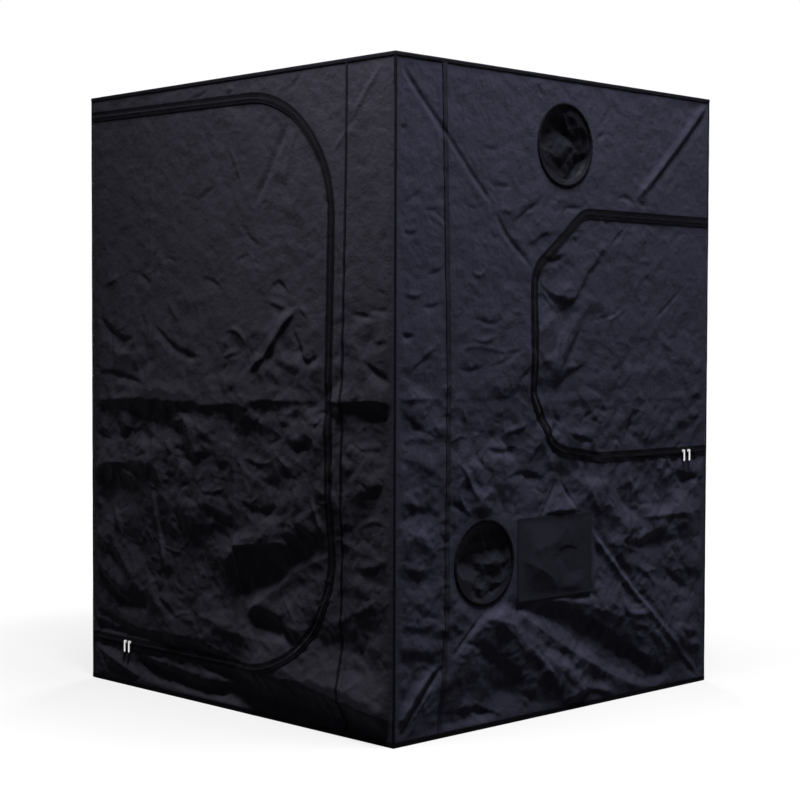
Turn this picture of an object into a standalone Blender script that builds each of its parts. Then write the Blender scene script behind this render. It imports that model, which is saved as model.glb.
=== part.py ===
# An indoor grow tent, 1.5 m square and 2 m high: a tube frame in corner sockets, a sewn cloth
# cover with a zipped door and a zipped side window, two duct ports, a vent flap and a floor tray.
#
# The front wall, with the door, faces -Y. The side wall with the window faces +X. Z is up, and
# the origin is on the floor under the middle of the tent. Lengths are in metres.

import bpy
import bmesh
from math import cos, pi, radians, sin
from mathutils import Matrix, Vector
from mathutils.geometry import delaunay_2d_cdt

# Overall size
WIDTH = 1.5
DEPTH = 1.5
HEIGHT = 2.0

# Cloth, tapes and the gaps between touching pieces
CLOTH = 0.0012
TAPE = 0.0012
GAP = 0.0003
SEWN_GAP = 0.0006
ARC_STEP = radians(9.0)

# Binding that folds over the tent's edges
BINDING_FLANGE = 0.007
TOP_FLANGE = 0.012
HEM_HEIGHT = 0.016
GROUND_SHEET = 0.0015

# Vertical seams, as shares of half the wall's span, each at a share of the height
FRONT_SEAM_SHARES = ((0.722, 0.0), (0.694, 0.1), (0.716, 0.5), (0.727, 1.0))
SIDE_SEAM_SHARES = ((-0.743, 0.0), (-0.707, 0.185), (-0.699, 0.55), (-0.723, 0.87), (-0.732, 1.0))
FRONT_SEAM_WIDTH = 0.009
SIDE_SEAM_WIDTH = 0.018

# Door, a D shape sewn to the front left corner
DOOR_TOP = 1.935
DOOR_TOP_DROP = 0.014
DOOR_BOTTOM = 0.149
DOOR_SIDE = 0.481
DOOR_CORNER_RADIUS = 0.39
ZIP_TAPE_WIDTH = 0.016
ZIP_SEAM = 0.003

# Window, sewn to the back corner of the side wall
WINDOW_TOP = 1.580
WINDOW_BOTTOM = 0.801
WINDOW_SIDE = -0.146
WINDOW_TOP_CUT = (0.231, 0.185)
WINDOW_BOTTOM_CUT = (0.101, 0.170)
WINDOW_BOTTOM_RISE = 0.034
WINDOW_BOTTOM_RUN = 0.316
WINDOW_RADIUS = 0.100

# Duct ports, each a bound rim round a sleeve that is pushed in
PORT_CENTRES = {"upper": (-0.005, 1.789), "lower": (-0.367, 0.507)}
PORT_RADIUS = 0.133
PORT_RIM_WIDTH = 0.012
PORT_RIM_THICKNESS = 0.003
PORT_SEAM = 0.003
PORT_SIDES = 32
RIM_SIDES = 6
SLEEVE_DEPTH = 0.115
SLEEVE_DEPTH_SHARES = (0.0, 0.14, 0.36, 0.62, 0.86, 1.0)
SLEEVE_RADIUS_SHARES = (1.0, 0.96, 0.84, 0.62, 0.36, 0.15)
SLEEVE_RUFFLE_SHARES = (0.0, 0.03, 0.08, 0.13, 0.16, 0.06)
SLEEVE_RUFFLES = 8
SLEEVE_TWIST = radians(34.0)

# Vent with an insect mesh and a cloth flap that folds down
VENT_CENTRE = (-0.042, 0.4985)
FLAP_SIZE = (0.352, 0.259)
VENT_BORDER = 0.030
MESH_BORDER = 0.012

# Frame of steel tube in plastic corner sockets
POLE_RADIUS = 0.0095
POLE_WALL = 0.001
POLE_SIDES = 12
SOCKET_WALL = 0.0022
SOCKET_LENGTH = 0.062
SOCKET_STOP = 0.014
SOCKET_BACK_SHARE = 0.9
ROOF_BAR_OFFSET = 0.30
CLIP_WIDTH = 0.032
CLIP_SLOT = 0.013
DRAIN_HOLE_RADIUS = 0.002
DRAIN_HOLE_SIDES = 6
DRAIN_HOLE_OFFSET = 0.60
BAR_PLUG = 0.004

# Floor tray
TRAY_CLEARANCE = 0.008
TRAY_HEIGHT = 0.060

# Zip sliders and their pull tabs
SLIDER_LENGTH = 0.015
SLIDER_WIDTH = 0.010
SLIDER_THICKNESS = 0.004
SLIDER_NOSE = 0.0025
BAIL_BAR = 0.0015
BAIL_SPAN = 0.0105
PULL_BARREL_RADIUS = 0.0022
PULL_BORE_RADIUS = 0.0014
PULL_BARREL_LENGTH = 0.005
PULL_BARREL_SIDES = 10
PULL_LIFT = 0.0004
PULL_WIDTH = 0.008
PULL_THICKNESS = 0.0012
PULL_LENGTH = 0.034
PULL_TIP_RADIUS = 0.003
DOOR_SLIDERS = {"door_slider_hinge_side": -0.552, "door_slider_free_side": -0.528}
WINDOW_SLIDERS = {"window_slider_free_side": 0.614, "window_slider_hinge_side": 0.643}

# Folds stand out from the cloth by shares of this depth, and run out over shares of this width
FOLD_DEPTH = 0.010
FOLD_WIDTH = 0.050
FOLD_TAPER = 0.060
FOLD_WELD = 0.002

# Each fold has a depth share, a width share, and its places as shares of half the wall's span
# and of the height
DOOR_FOLDS = (
    (0.9, 1.3, ((-0.93, 0.495), (-0.53, 0.492), (0.04, 0.493), (0.57, 0.497))),
    (0.4, 0.6, ((-0.54, 0.90), (-0.53, 0.70), (-0.55, 0.52))),
    (0.8, 0.6, ((-0.55, 0.355), (-0.51, 0.267), (-0.456, 0.193))),
    (0.4, 0.5, ((0.045, 0.92), (0.04, 0.65), (0.045, 0.52))),
    (0.5, 0.5, ((0.05, 0.45), (0.045, 0.25), (0.06, 0.18))),
    (-1.0, 0.6, ((0.44, 0.638), (0.33, 0.588), (0.13, 0.531))),
    (0.6, 0.5, ((-0.485, 0.606), (-0.312, 0.567), (-0.161, 0.552))),
    (-0.6, 0.6, ((0.34, 0.90), (0.268, 0.852), (0.16, 0.792))),
    (1.0, 0.8, ((0.56, 0.258), (0.19, 0.190), (0.108, 0.146))),
    (-0.7, 0.6, ((0.335, 0.422), (0.477, 0.378), (0.565, 0.315))),
    (-0.7, 0.7, ((-0.92, 0.200), (-0.607, 0.153))),
    (-0.5, 0.5, ((-0.92, 0.532), (-0.628, 0.514))),
)
SILL_FOLDS = (
    (0.6, 0.4, ((-0.60, 0.050), (-0.045, 0.036), (0.33, 0.042), (0.63, 0.024))),
)
FRONT_STRIP_FOLDS = (
    (0.8, 0.5, ((0.90, 0.968), (0.83, 0.935), (0.77, 0.912))),
    (0.8, 1.0, ((0.76, 0.493), (0.95, 0.493))),
    (0.6, 0.6, ((0.80, 0.565), (0.90, 0.545), (0.945, 0.522))),
)
SIDE_STRIP_FOLDS = (
    (0.8, 0.5, ((-0.945, 0.972), (-0.86, 0.942), (-0.775, 0.915))),
    (0.8, 1.0, ((-0.95, 0.488), (-0.745, 0.490))),
    (0.7, 0.6, ((-0.79, 0.105), (-0.93, 0.028))),
)
SIDE_FOLDS = (
    (-0.8, 0.6, ((-0.67, 0.878), (-0.53, 0.835), (-0.46, 0.802), (-0.34, 0.749), (-0.25, 0.713))),
    (1.0, 0.7, ((0.95, 0.978), (0.72, 0.910), (0.49, 0.835), (0.43, 0.817))),
    (0.9, 1.2, ((-0.66, 0.490), (-0.45, 0.492), (-0.24, 0.487))),
    (1.2, 0.9, ((0.235, 0.268), (0.515, 0.158), (0.93, 0.026))),
    (0.7, 0.3, ((-0.10, 0.334), (0.013, 0.361), (0.12, 0.334))),
    (-0.9, 0.5, ((-0.50, 0.172), (-0.66, 0.126))),
    (0.6, 0.5, ((-0.008, 0.165), (0.002, 0.02))),
    (0.5, 0.4, ((0.43, 0.372), (0.42, 0.228))),
    (-0.7, 0.6, ((-0.66, 0.548), (-0.272, 0.578))),
)
WINDOW_FOLDS = (
    (0.6, 0.8, ((-0.13, 0.492), (0.20, 0.494), (0.93, 0.495))),
    (0.9, 0.6, ((0.256, 0.730), (0.116, 0.672), (0.03, 0.638))),
    (-0.9, 0.5, ((-0.135, 0.672), (-0.039, 0.633), (0.02, 0.640))),
    (0.8, 0.5, ((-0.039, 0.628), (-0.064, 0.578), (-0.087, 0.520))),
    (-0.6, 0.5, ((0.135, 0.620), (0.032, 0.557), (-0.06, 0.520))),
    (-0.5, 0.5, ((0.825, 0.681), (0.69, 0.64), (0.593, 0.617))),
)
PLAIN_WALL_FOLDS = (
    (0.9, 1.2, ((-0.93, 0.492), (-0.3, 0.495), (0.3, 0.491), (0.93, 0.493))),
    (0.5, 0.5, ((-0.33, 0.95), (-0.34, 0.56))),
    (0.5, 0.5, ((0.33, 0.94), (0.32, 0.55))),
    (0.5, 0.5, ((-0.32, 0.44), (-0.33, 0.06))),
    (0.5, 0.5, ((0.34, 0.43), (0.33, 0.05))),
    (0.8, 0.6, ((-0.93, 0.96), (-0.60, 0.82), (-0.45, 0.76))),
    (0.8, 0.6, ((0.93, 0.035), (0.60, 0.17), (0.42, 0.24))),
)
ROOF_FOLDS = (
    (0.35, 1.0, ((-0.90, 0.0), (0.0, 0.01), (0.90, 0.0))),
    (0.35, 1.0, ((0.0, -0.90), (0.01, -0.05), (0.0, 0.90))),
)

# Planes and places that follow from the sizes above
WALL_OUT = -(TAPE + GAP)
WALL_IN = WALL_OUT - CLOTH
WALL_BOTTOM = GROUND_SHEET + GAP
WALL_TOP = HEIGHT + WALL_IN - GAP
SOCKET_RADIUS = POLE_RADIUS + GAP + SOCKET_WALL
POLE_INSET = SOCKET_RADIUS + GAP - WALL_IN
POLE_X = WIDTH / 2 - POLE_INSET
POLE_Y = DEPTH / 2 - POLE_INSET
POLE_LOW = WALL_BOTTOM + SOCKET_RADIUS
POLE_HIGH = HEIGHT - POLE_INSET
HINGE_INSET = BINDING_FLANGE + SEWN_GAP
CUT_OVERRUN = 0.004
CUT_WELD = 0.00001
CORNERS = {"front_left": (-1, -1), "front_right": (1, -1), "back_right": (1, 1),
           "back_left": (-1, 1)}


def make_material(name, colour, roughness, metallic=0.0):
    material = bpy.data.materials.new(name)
    material.use_nodes = True
    shader = material.node_tree.nodes["Principled BSDF"]
    shader.inputs["Base Color"].default_value = (*colour, 1.0)
    shader.inputs["Roughness"].default_value = roughness
    shader.inputs["Metallic"].default_value = metallic
    return material


def add_object(name, bm, material, smooth=False):
    """Make the mesh one closed body with its faces pointing out, under the piece's name."""
    bmesh.ops.recalc_face_normals(bm, faces=bm.faces)
    mesh = bpy.data.meshes.new(name)
    bm.to_mesh(mesh)
    bm.free()
    return add_mesh_object(name, mesh, material, smooth)


def add_mesh_object(name, mesh, material, smooth=False):
    if smooth:
        mesh.shade_smooth()
        mesh.set_sharp_from_angle(angle=radians(40.0))
    mesh.materials.clear()
    mesh.materials.append(material)
    piece = bpy.data.objects.new(name, mesh)
    bpy.context.scene.collection.objects.link(piece)
    return piece


def set_origin(piece, place):
    """Move the piece's origin to its joint's axis without moving the piece."""
    piece.data.transform(Matrix.Translation(-Vector(place)))
    piece.location = place


class Wall:
    """One upright side of the tent. u runs along it, and out is measured from the outer plane."""

    def __init__(self, quarter_turns, half_span, standoff):
        self.turn = Matrix.Rotation(quarter_turns * pi / 2, 3, "Z")
        self.half_span = half_span
        self.standoff = standoff

    def place(self, u, z, out):
        return self.turn @ Vector((u, -(self.standoff + out), z))

    def share(self, point):
        return point[0] * self.half_span, point[1] * HEIGHT


class Roof:
    """The top of the tent. u runs along X and v along Y."""

    def place(self, u, v, out):
        return Vector((u, v, HEIGHT + out))

    def share(self, point):
        return point[0] * WIDTH / 2, point[1] * DEPTH / 2


FRONT = Wall(0, WIDTH / 2, DEPTH / 2)
SIDE = Wall(1, DEPTH / 2, WIDTH / 2)
BACK = Wall(2, WIDTH / 2, DEPTH / 2)
LEFT = Wall(3, DEPTH / 2, WIDTH / 2)
ROOF = Roof()


def rounded_path(corners):
    """Join (u, z, radius) corners by straight runs, with an arc in place of each inner corner."""
    path = [corners[0][:2]]
    for before, corner, after in zip(corners, corners[1:], corners[2:]):
        here = Vector(corner[:2])
        to_before = (Vector(before[:2]) - here).normalized()
        to_after = (Vector(after[:2]) - here).normalized()
        half_angle = to_before.angle(to_after) / 2
        radius = corner[2]
        middle = (to_before + to_after).normalized()
        centre = here + middle * radius / sin(half_angle)
        sweep = pi - 2 * half_angle
        turn = 1.0 if to_before.cross(to_after) < 0 else -1.0
        start = here + to_before * radius * cos(half_angle) / sin(half_angle) - centre
        steps = max(2, round(sweep / ARC_STEP))
        for step in range(steps + 1):
            angle = turn * sweep * step / steps
            turned = Matrix.Rotation(angle, 2) @ start
            path.append(tuple(centre + turned))
    path.append(corners[-1][:2])
    return path


def offset_path(path, distance):
    """Move a path sideways, to the right of its direction."""
    moved = []
    for index, point in enumerate(path):
        before = Vector(path[max(index - 1, 0)])
        after = Vector(path[min(index + 1, len(path) - 1)])
        here = Vector(point)
        run_in = (here - before).normalized() if index > 0 else (after - here).normalized()
        run_out = (after - here).normalized() if index < len(path) - 1 else run_in
        along = (run_in + run_out).normalized()
        stretch = along.dot(run_in)
        side = Vector((along.y, -along.x))
        moved.append(tuple(here + side * distance / stretch))
    return moved


def circle(centre, radius, sides=PORT_SIDES):
    turns = [2 * pi * step / sides for step in range(sides)]
    return [(centre[0] + radius * cos(turn), centre[1] + radius * sin(turn)) for turn in turns]


def rectangle(low, high):
    return [low, (high[0], low[1]), high, (low[0], high[1])]


def inside(point, loop):
    """Tell whether a point lies inside a closed loop, by counting crossings."""
    hits = 0
    for (u0, v0), (u1, v1) in zip(loop, loop[1:] + loop[:1]):
        if (v0 > point[1]) != (v1 > point[1]):
            crossing = u0 + (point[1] - v0) * (u1 - u0) / (v1 - v0)
            hits += crossing > point[0]
    return hits % 2 == 1


class Fold:
    """A ridge or valley along a line. It runs out to nothing at its sides and its ends."""

    def __init__(self, surface, entry):
        depth_share, width_share, places = entry
        self.depth = FOLD_DEPTH * depth_share
        self.width = FOLD_WIDTH * width_share
        self.line = [Vector(surface.share(place)) for place in places]
        spans = [(b - a).length for a, b in zip(self.line, self.line[1:])]
        self.starts = [sum(spans[:index]) for index in range(len(spans))]
        self.length = sum(spans)
        self.taper = min(FOLD_TAPER, self.length / 3)

    def swell(self, along):
        return max(0.0, min(1.0, along / self.taper, (self.length - along) / self.taper))

    def height(self, point):
        best = 0.0
        for start, a, b in zip(self.starts, self.line, self.line[1:]):
            run = b - a
            share = max(0.0, min(1.0, (point - a).dot(run) / run.length_squared))
            swell = self.swell(start + share * run.length)
            if swell > 0:
                distance = (point - a - run * share).length
                best = max(best, swell * max(0.0, 1 - distance / (self.width * swell)))
        return self.depth * best

    def lines(self):
        """The ridge line and the line of its two feet, with points where the fold swells out."""
        ridge = []
        for start, a, b in zip(self.starts, self.line, self.line[1:]):
            run = b - a
            ridge.append((start, a))
            for mark in (self.taper, self.length - self.taper):
                if start + FOLD_WELD < mark < start + run.length - FOLD_WELD:
                    ridge.append((mark, a + run * (mark - start) / run.length))
        ridge.append((self.length, self.line[-1]))
        ridge.sort(key=lambda item: item[0])
        points = [tuple(point) for along, point in ridge]
        swells = [self.swell(along) for along, point in ridge]
        feet = []
        for side in (self.width, -self.width):
            far = offset_path(points, side)
            feet.append([Vector(a).lerp(Vector(b), swell) for a, b, swell in zip(points, far, swells)])
        return [points, *feet]


def cloth(name, surface, outline, material, holes=(), folds=(), out=WALL_OUT, thickness=CLOTH):
    """A sheet of even thickness on one surface, cut to an outline, with its main folds."""
    ridges = [Fold(surface, entry) for entry in folds]
    points = []
    edges = []
    for loop in [outline, *holes]:
        first = len(points)
        points += [Vector(point) for point in loop]
        edges += [(first + i, first + (i + 1) % len(loop)) for i in range(len(loop))]
    for fold in ridges:
        for line in fold.lines():
            first = len(points)
            points += [Vector(point) for point in line]
            edges += [(first + i, first + i + 1) for i in range(len(line) - 1)]
    flat, _, triangles, *_ = delaunay_2d_cdt(points, edges, [], 0, CUT_WELD)

    def belongs(triangle):
        centre = sum((flat[index] for index in triangle), Vector((0.0, 0.0))) / 3
        return inside(centre, outline) and not any(inside(centre, hole) for hole in holes)

    kept = [triangle for triangle in triangles if belongs(triangle)]
    heights = [sum(fold.height(point) for fold in ridges) for point in flat]
    bm = bmesh.new()
    used = sorted({index for triangle in kept for index in triangle})
    outer = {i: bm.verts.new(surface.place(*flat[i], out + heights[i])) for i in used}
    inner = {i: bm.verts.new(surface.place(*flat[i], out + heights[i] - thickness)) for i in used}
    borders = {}
    for triangle in kept:
        bm.faces.new([outer[index] for index in triangle])
        bm.faces.new([inner[index] for index in reversed(triangle)])
        for a, b in zip(triangle, triangle[1:] + triangle[:1]):
            borders[(a, b)] = (b, a) not in borders
            if not borders[(a, b)]:
                borders[(b, a)] = False
    for (a, b), border in borders.items():
        if border:
            bm.faces.new((outer[b], outer[a], inner[a], inner[b]))
    return add_object(name, bm, material)


def loft(name, rings, material, closed=False, smooth=False):
    """Join rings of points by faces. An open loft gets a face over each end."""
    bm = bmesh.new()
    loops = [[bm.verts.new(point) for point in ring] for ring in rings]
    pairs = list(zip(loops, loops[1:] + loops[:1])) if closed else list(zip(loops, loops[1:]))
    for near, far in pairs:
        for a, b, c, d in zip(near, near[1:] + near[:1], far[1:] + far[:1], far):
            bm.faces.new((a, b, c, d))
    if not closed:
        bm.faces.new(loops[0])
        bm.faces.new(loops[-1])
    return add_object(name, bm, material, smooth)


def polygon_ring(centre, axis, radius, sides=POLE_SIDES):
    """A ring of points round an X, Y or Z axis, with flats facing along the other two axes."""
    across = Vector((axis[1], axis[2], axis[0]))
    up = Vector((axis[2], axis[0], axis[1]))
    turns = [2 * pi * (step + 0.5) / sides for step in range(sides)]
    return [centre + across * radius * cos(turn) + up * radius * sin(turn) for turn in turns]


def tube(name, start, end, material):
    """A hollow pole between two points, open at both ends."""
    axis = (end - start).normalized()
    bore = POLE_RADIUS - POLE_WALL
    rings = [polygon_ring(start, axis, POLE_RADIUS), polygon_ring(end, axis, POLE_RADIUS),
             polygon_ring(end, axis, bore), polygon_ring(start, axis, bore)]
    return loft(name, rings, material, closed=True, smooth=True)


def hidden_bar(name, start, end, radius, sides=POLE_SIDES):
    """A round bar that only shapes another piece."""
    axis = (end - start).normalized()
    rings = [polygon_ring(start, axis, radius, sides), polygon_ring(end, axis, radius, sides)]
    return hide(loft(name, rings, FINISH["cutter"]))


def hidden_box(name, low, high):
    flat = rectangle(low[:2], high[:2])
    rings = [[Vector((x, y, z)) for x, y in flat] for z in (low[2], high[2])]
    return hide(loft(name, rings, FINISH["cutter"]))


def hide(piece):
    piece.hide_render = True
    piece.display_type = "WIRE"
    return piece


def combine(base, steps):
    """Join or cut a base shape by hidden shapes, and return the finished mesh."""
    for operation, other in steps:
        modifier = base.modifiers.new(other.name, "BOOLEAN")
        modifier.operation = operation
        modifier.object = other
    bpy.context.view_layer.update()
    depsgraph = bpy.context.evaluated_depsgraph_get()
    mesh = bpy.data.meshes.new_from_object(base.evaluated_get(depsgraph))
    for _, other in steps:
        bpy.data.objects.remove(other)
    bpy.data.objects.remove(base)
    return mesh


def seam_path(wall, shares, low, high, shift):
    """A line beside a seam up a wall, cut off level at its lower and upper ends."""
    points = offset_path([wall.share(share) for share in shares], shift)
    return [(points[0][0], low), *points[1:-1], (points[-1][0], high)]


def door_path():
    """The zip's line round the door, clockwise from the top of the sewn edge."""
    hinge = -WIDTH / 2 + HINGE_INSET
    return rounded_path([
        (hinge, DOOR_TOP, 0.0),
        (DOOR_SIDE, DOOR_TOP - DOOR_TOP_DROP, DOOR_CORNER_RADIUS),
        (DOOR_SIDE, DOOR_BOTTOM, DOOR_CORNER_RADIUS),
        (hinge, DOOR_BOTTOM, 0.0),
    ])


def window_path():
    """The zip's line round the window, clockwise from the foot of the sewn edge."""
    hinge = DEPTH / 2 - HINGE_INSET
    top_u, top_z = WINDOW_TOP_CUT
    low_u, low_z = WINDOW_BOTTOM_CUT
    return rounded_path([
        (hinge, WINDOW_BOTTOM, 0.0),
        (WINDOW_SIDE + WINDOW_BOTTOM_RUN, WINDOW_BOTTOM, WINDOW_RADIUS),
        (WINDOW_SIDE + low_u, WINDOW_BOTTOM + WINDOW_BOTTOM_RISE, WINDOW_RADIUS),
        (WINDOW_SIDE, WINDOW_BOTTOM + WINDOW_BOTTOM_RISE + low_z, WINDOW_RADIUS),
        (WINDOW_SIDE, WINDOW_TOP - top_z, WINDOW_RADIUS),
        (WINDOW_SIDE + top_u, WINDOW_TOP, WINDOW_RADIUS),
        (hinge, WINDOW_TOP, 0.0),
    ])


def build_front():
    """The front wall round the door, in two cloth panels joined at a taped seam."""
    edge = WIDTH / 2 + WALL_OUT
    cut = offset_path(door_path(), -ZIP_SEAM)
    left_of_seam = seam_path(FRONT, FRONT_SEAM_SHARES, WALL_BOTTOM, WALL_TOP, -SEWN_GAP / 2)
    right_of_seam = seam_path(FRONT, FRONT_SEAM_SHARES, WALL_BOTTOM, WALL_TOP, SEWN_GAP / 2)
    around_door = [(-edge, WALL_BOTTOM), *left_of_seam, (-edge, WALL_TOP),
                   (-edge, cut[0][1]), *cut, (-edge, cut[-1][1])]
    cloth("front_panel", FRONT, around_door, FINISH["cloth"], folds=SILL_FOLDS)
    strip = [*right_of_seam, (edge, WALL_TOP), (edge, WALL_BOTTOM)]
    cloth("front_corner_strip", FRONT, strip[::-1], FINISH["cloth"], folds=FRONT_STRIP_FOLDS)
    taped_seam("front_seam_tape", FRONT, FRONT_SEAM_SHARES, FRONT_SEAM_WIDTH)


def taped_seam(name, wall, shares, width):
    """The tape over a seam, between the hem and the top binding."""
    low = WALL_BOTTOM + HEM_HEIGHT + SEWN_GAP
    high = HEIGHT - TOP_FLANGE - SEWN_GAP
    right = seam_path(wall, shares, low, high, width / 2)
    left = seam_path(wall, shares, low, high, -width / 2)
    cloth(name, wall, [*right, *left[::-1]], FINISH["tape"], out=0.0, thickness=TAPE)


def build_side():
    """The side wall round the window, with its duct ports and its vent."""
    edge = DEPTH / 2 + WALL_IN - GAP
    cut = offset_path(window_path(), -ZIP_SEAM)
    port_hole = PORT_RADIUS - PORT_RIM_WIDTH + PORT_SEAM
    holes = [circle(centre, port_hole) for centre in PORT_CENTRES.values()]
    vent_u, vent_z = vent_opening_half_size()
    holes.append(rectangle((VENT_CENTRE[0] - vent_u, VENT_CENTRE[1] - vent_z),
                           (VENT_CENTRE[0] + vent_u, VENT_CENTRE[1] + vent_z)))
    left_of_seam = seam_path(SIDE, SIDE_SEAM_SHARES, WALL_BOTTOM, WALL_TOP, -SEWN_GAP / 2)
    right_of_seam = seam_path(SIDE, SIDE_SEAM_SHARES, WALL_BOTTOM, WALL_TOP, SEWN_GAP / 2)
    around_window = [*right_of_seam[::-1], (edge, WALL_BOTTOM), (edge, cut[0][1]), *cut,
                     (edge, cut[-1][1]), (edge, WALL_TOP)]
    cloth("side_panel", SIDE, around_window, FINISH["cloth"], holes=holes, folds=SIDE_FOLDS)
    strip = [(-edge, WALL_BOTTOM), *left_of_seam, (-edge, WALL_TOP)]
    cloth("side_corner_strip", SIDE, strip, FINISH["cloth"], folds=SIDE_STRIP_FOLDS)
    taped_seam("side_seam_tape", SIDE, SIDE_SEAM_SHARES, SIDE_SEAM_WIDTH)


def vent_opening_half_size():
    return FLAP_SIZE[0] / 2 - VENT_BORDER, FLAP_SIZE[1] / 2 - VENT_BORDER


def build_plain_walls():
    """The back and left walls, the roof and the ground sheet."""
    back_edge = WIDTH / 2 + WALL_OUT
    cloth("back_panel", BACK, rectangle((-back_edge, WALL_BOTTOM), (back_edge, WALL_TOP)),
          FINISH["cloth"], folds=PLAIN_WALL_FOLDS)
    left_edge = DEPTH / 2 + WALL_IN - GAP
    cloth("left_panel", LEFT, rectangle((-left_edge, WALL_BOTTOM), (left_edge, WALL_TOP)),
          FINISH["cloth"], folds=PLAIN_WALL_FOLDS)
    half_x = WIDTH / 2 + WALL_OUT
    half_y = DEPTH / 2 + WALL_OUT
    cloth("roof_panel", ROOF, rectangle((-half_x, -half_y), (half_x, half_y)),
          FINISH["cloth"], folds=ROOF_FOLDS)
    cloth("ground_sheet", ROOF, rectangle((-half_x, -half_y), (half_x, half_y)),
          FINISH["ground"], out=GROUND_SHEET - HEIGHT, thickness=GROUND_SHEET)


def build_bindings():
    """Tapes folded over the upright corners, round the top and round the hem."""
    low = WALL_BOTTOM + HEM_HEIGHT + SEWN_GAP
    high = HEIGHT - TOP_FLANGE - SEWN_GAP
    for name, (side_x, side_y) in CORNERS.items():
        profile = [(0, 0), (BINDING_FLANGE, 0), (BINDING_FLANGE, TAPE), (TAPE, TAPE),
                   (TAPE, BINDING_FLANGE), (0, BINDING_FLANGE)]
        rings = [[Vector((side_x * (WIDTH / 2 - a), side_y * (DEPTH / 2 - b), z))
                  for a, b in profile] for z in (low, high)]
        loft("corner_binding_" + name, rings, FINISH["tape"])
    top_profile = [(0, 0), (TOP_FLANGE, 0), (TOP_FLANGE, TAPE), (TAPE, TAPE),
                   (TAPE, TOP_FLANGE), (0, TOP_FLANGE)]
    edge_loop("top_binding", [(inset, HEIGHT - drop) for inset, drop in top_profile])
    edge_loop("bottom_hem", [(0, WALL_BOTTOM), (TAPE, WALL_BOTTOM),
                             (TAPE, WALL_BOTTOM + HEM_HEIGHT), (0, WALL_BOTTOM + HEM_HEIGHT)])


def edge_loop(name, profile):
    """A tape that runs round all four sides. The profile gives its inset and its height."""
    rings = [[Vector((side_x * (WIDTH / 2 - inset), side_y * (DEPTH / 2 - inset), z))
              for inset, z in profile] for side_x, side_y in CORNERS.values()]
    loft(name, rings, FINISH["tape"], closed=True)


def zip_tape(name, wall, path, side):
    """One of a zip's two tapes: side is 1 on the leaf and -1 on the wall round it."""
    near = offset_path(path, side * SEWN_GAP / 2)
    far = offset_path(path, side * ZIP_TAPE_WIDTH)
    return cloth(name, wall, [*near, *far[::-1]], FINISH["tape"], out=0.0, thickness=TAPE)


def build_zipped_leaf(prefix, wall, path, folds):
    """A door or window panel, sewn along one upright edge, and both tapes of its zip."""
    zip_tape(prefix + "_zip_frame_tape", wall, path, -1)
    tape = zip_tape(prefix + "_zip_leaf_tape", wall, path, 1)
    leaf = cloth(prefix + "_panel", wall, offset_path(path, ZIP_SEAM), FINISH["cloth"], folds=folds)
    hinge_u = path[0][0]
    for piece in (leaf, tape):
        set_origin(piece, wall.place(hinge_u, 0.0, GAP))


def build_ports():
    for level, centre in PORT_CENTRES.items():
        build_port_rim("port_rim_" + level, centre)
        build_port_sleeve("port_sleeve_" + level, centre)


def build_port_rim(name, centre):
    """The bound ring round a port, proud of the cloth."""
    half = PORT_RIM_WIDTH / 2
    rings = []
    for step in range(PORT_SIDES):
        turn = 2 * pi * step / PORT_SIDES
        ring = []
        for corner in range(RIM_SIDES):
            angle = pi * corner / (RIM_SIDES - 1)
            radius = PORT_RADIUS - half + half * cos(angle)
            out = -TAPE + PORT_RIM_THICKNESS * sin(angle)
            ring.append(SIDE.place(centre[0] + radius * cos(turn), centre[1] + radius * sin(turn), out))
        rings.append(ring)
    loft(name, rings, FINISH["tape"], closed=True, smooth=True)


def sleeve_ring(centre, mouth_radius, depth_share, radius_share, ruffle_share):
    """One ring of the pushed-in sleeve, drawn in and ruffled as it goes deeper."""
    ring = []
    for step in range(PORT_SIDES):
        turn = 2 * pi * step / PORT_SIDES
        wave = cos(SLEEVE_RUFFLES * turn + SLEEVE_TWIST * depth_share * SLEEVE_RUFFLES)
        radius = mouth_radius * radius_share * (1 + ruffle_share * wave)
        ring.append((centre[0] + radius * cos(turn), centre[1] + radius * sin(turn)))
    return ring


def build_port_sleeve(name, centre):
    """The cloth sleeve of a port, pushed inside and gathered shut."""
    outer = PORT_RADIUS - PORT_RIM_WIDTH + PORT_SEAM - GAP
    levels = list(zip(SLEEVE_DEPTH_SHARES, SLEEVE_RADIUS_SHARES, SLEEVE_RUFFLE_SHARES))
    rings = []
    for depth, radius, ruffle in reversed(levels):
        flat = sleeve_ring(centre, outer, depth, radius, ruffle)
        rings.append([SIDE.place(u, z, WALL_OUT - SLEEVE_DEPTH * depth) for u, z in flat])
    inner = outer - CLOTH
    for depth, radius, ruffle in levels:
        flat = sleeve_ring(centre, inner, depth, radius, ruffle)
        floor = SLEEVE_DEPTH * depth - (CLOTH if depth == 1.0 else 0.0)
        rings.append([SIDE.place(u, z, WALL_OUT - floor) for u, z in flat])
    loft(name, rings, FINISH["sleeve"], smooth=True)


def build_vent():
    """The insect mesh behind the vent opening, and the flap in front of it."""
    half_u, half_z = vent_opening_half_size()
    mesh_u = half_u + MESH_BORDER
    mesh_z = half_z + MESH_BORDER
    u, z = VENT_CENTRE
    cloth("vent_mesh", SIDE, rectangle((u - mesh_u, z - mesh_z), (u + mesh_u, z + mesh_z)),
          FINISH["mesh"], out=WALL_IN - GAP)
    low = (u - FLAP_SIZE[0] / 2, z - FLAP_SIZE[1] / 2)
    high = (u + FLAP_SIZE[0] / 2, z + FLAP_SIZE[1] / 2)
    flap = cloth("vent_flap", SIDE, rectangle(low, high), FINISH["flap"], out=0.0, thickness=TAPE)
    set_origin(flap, SIDE.place(u, low[1], GAP))


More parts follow.
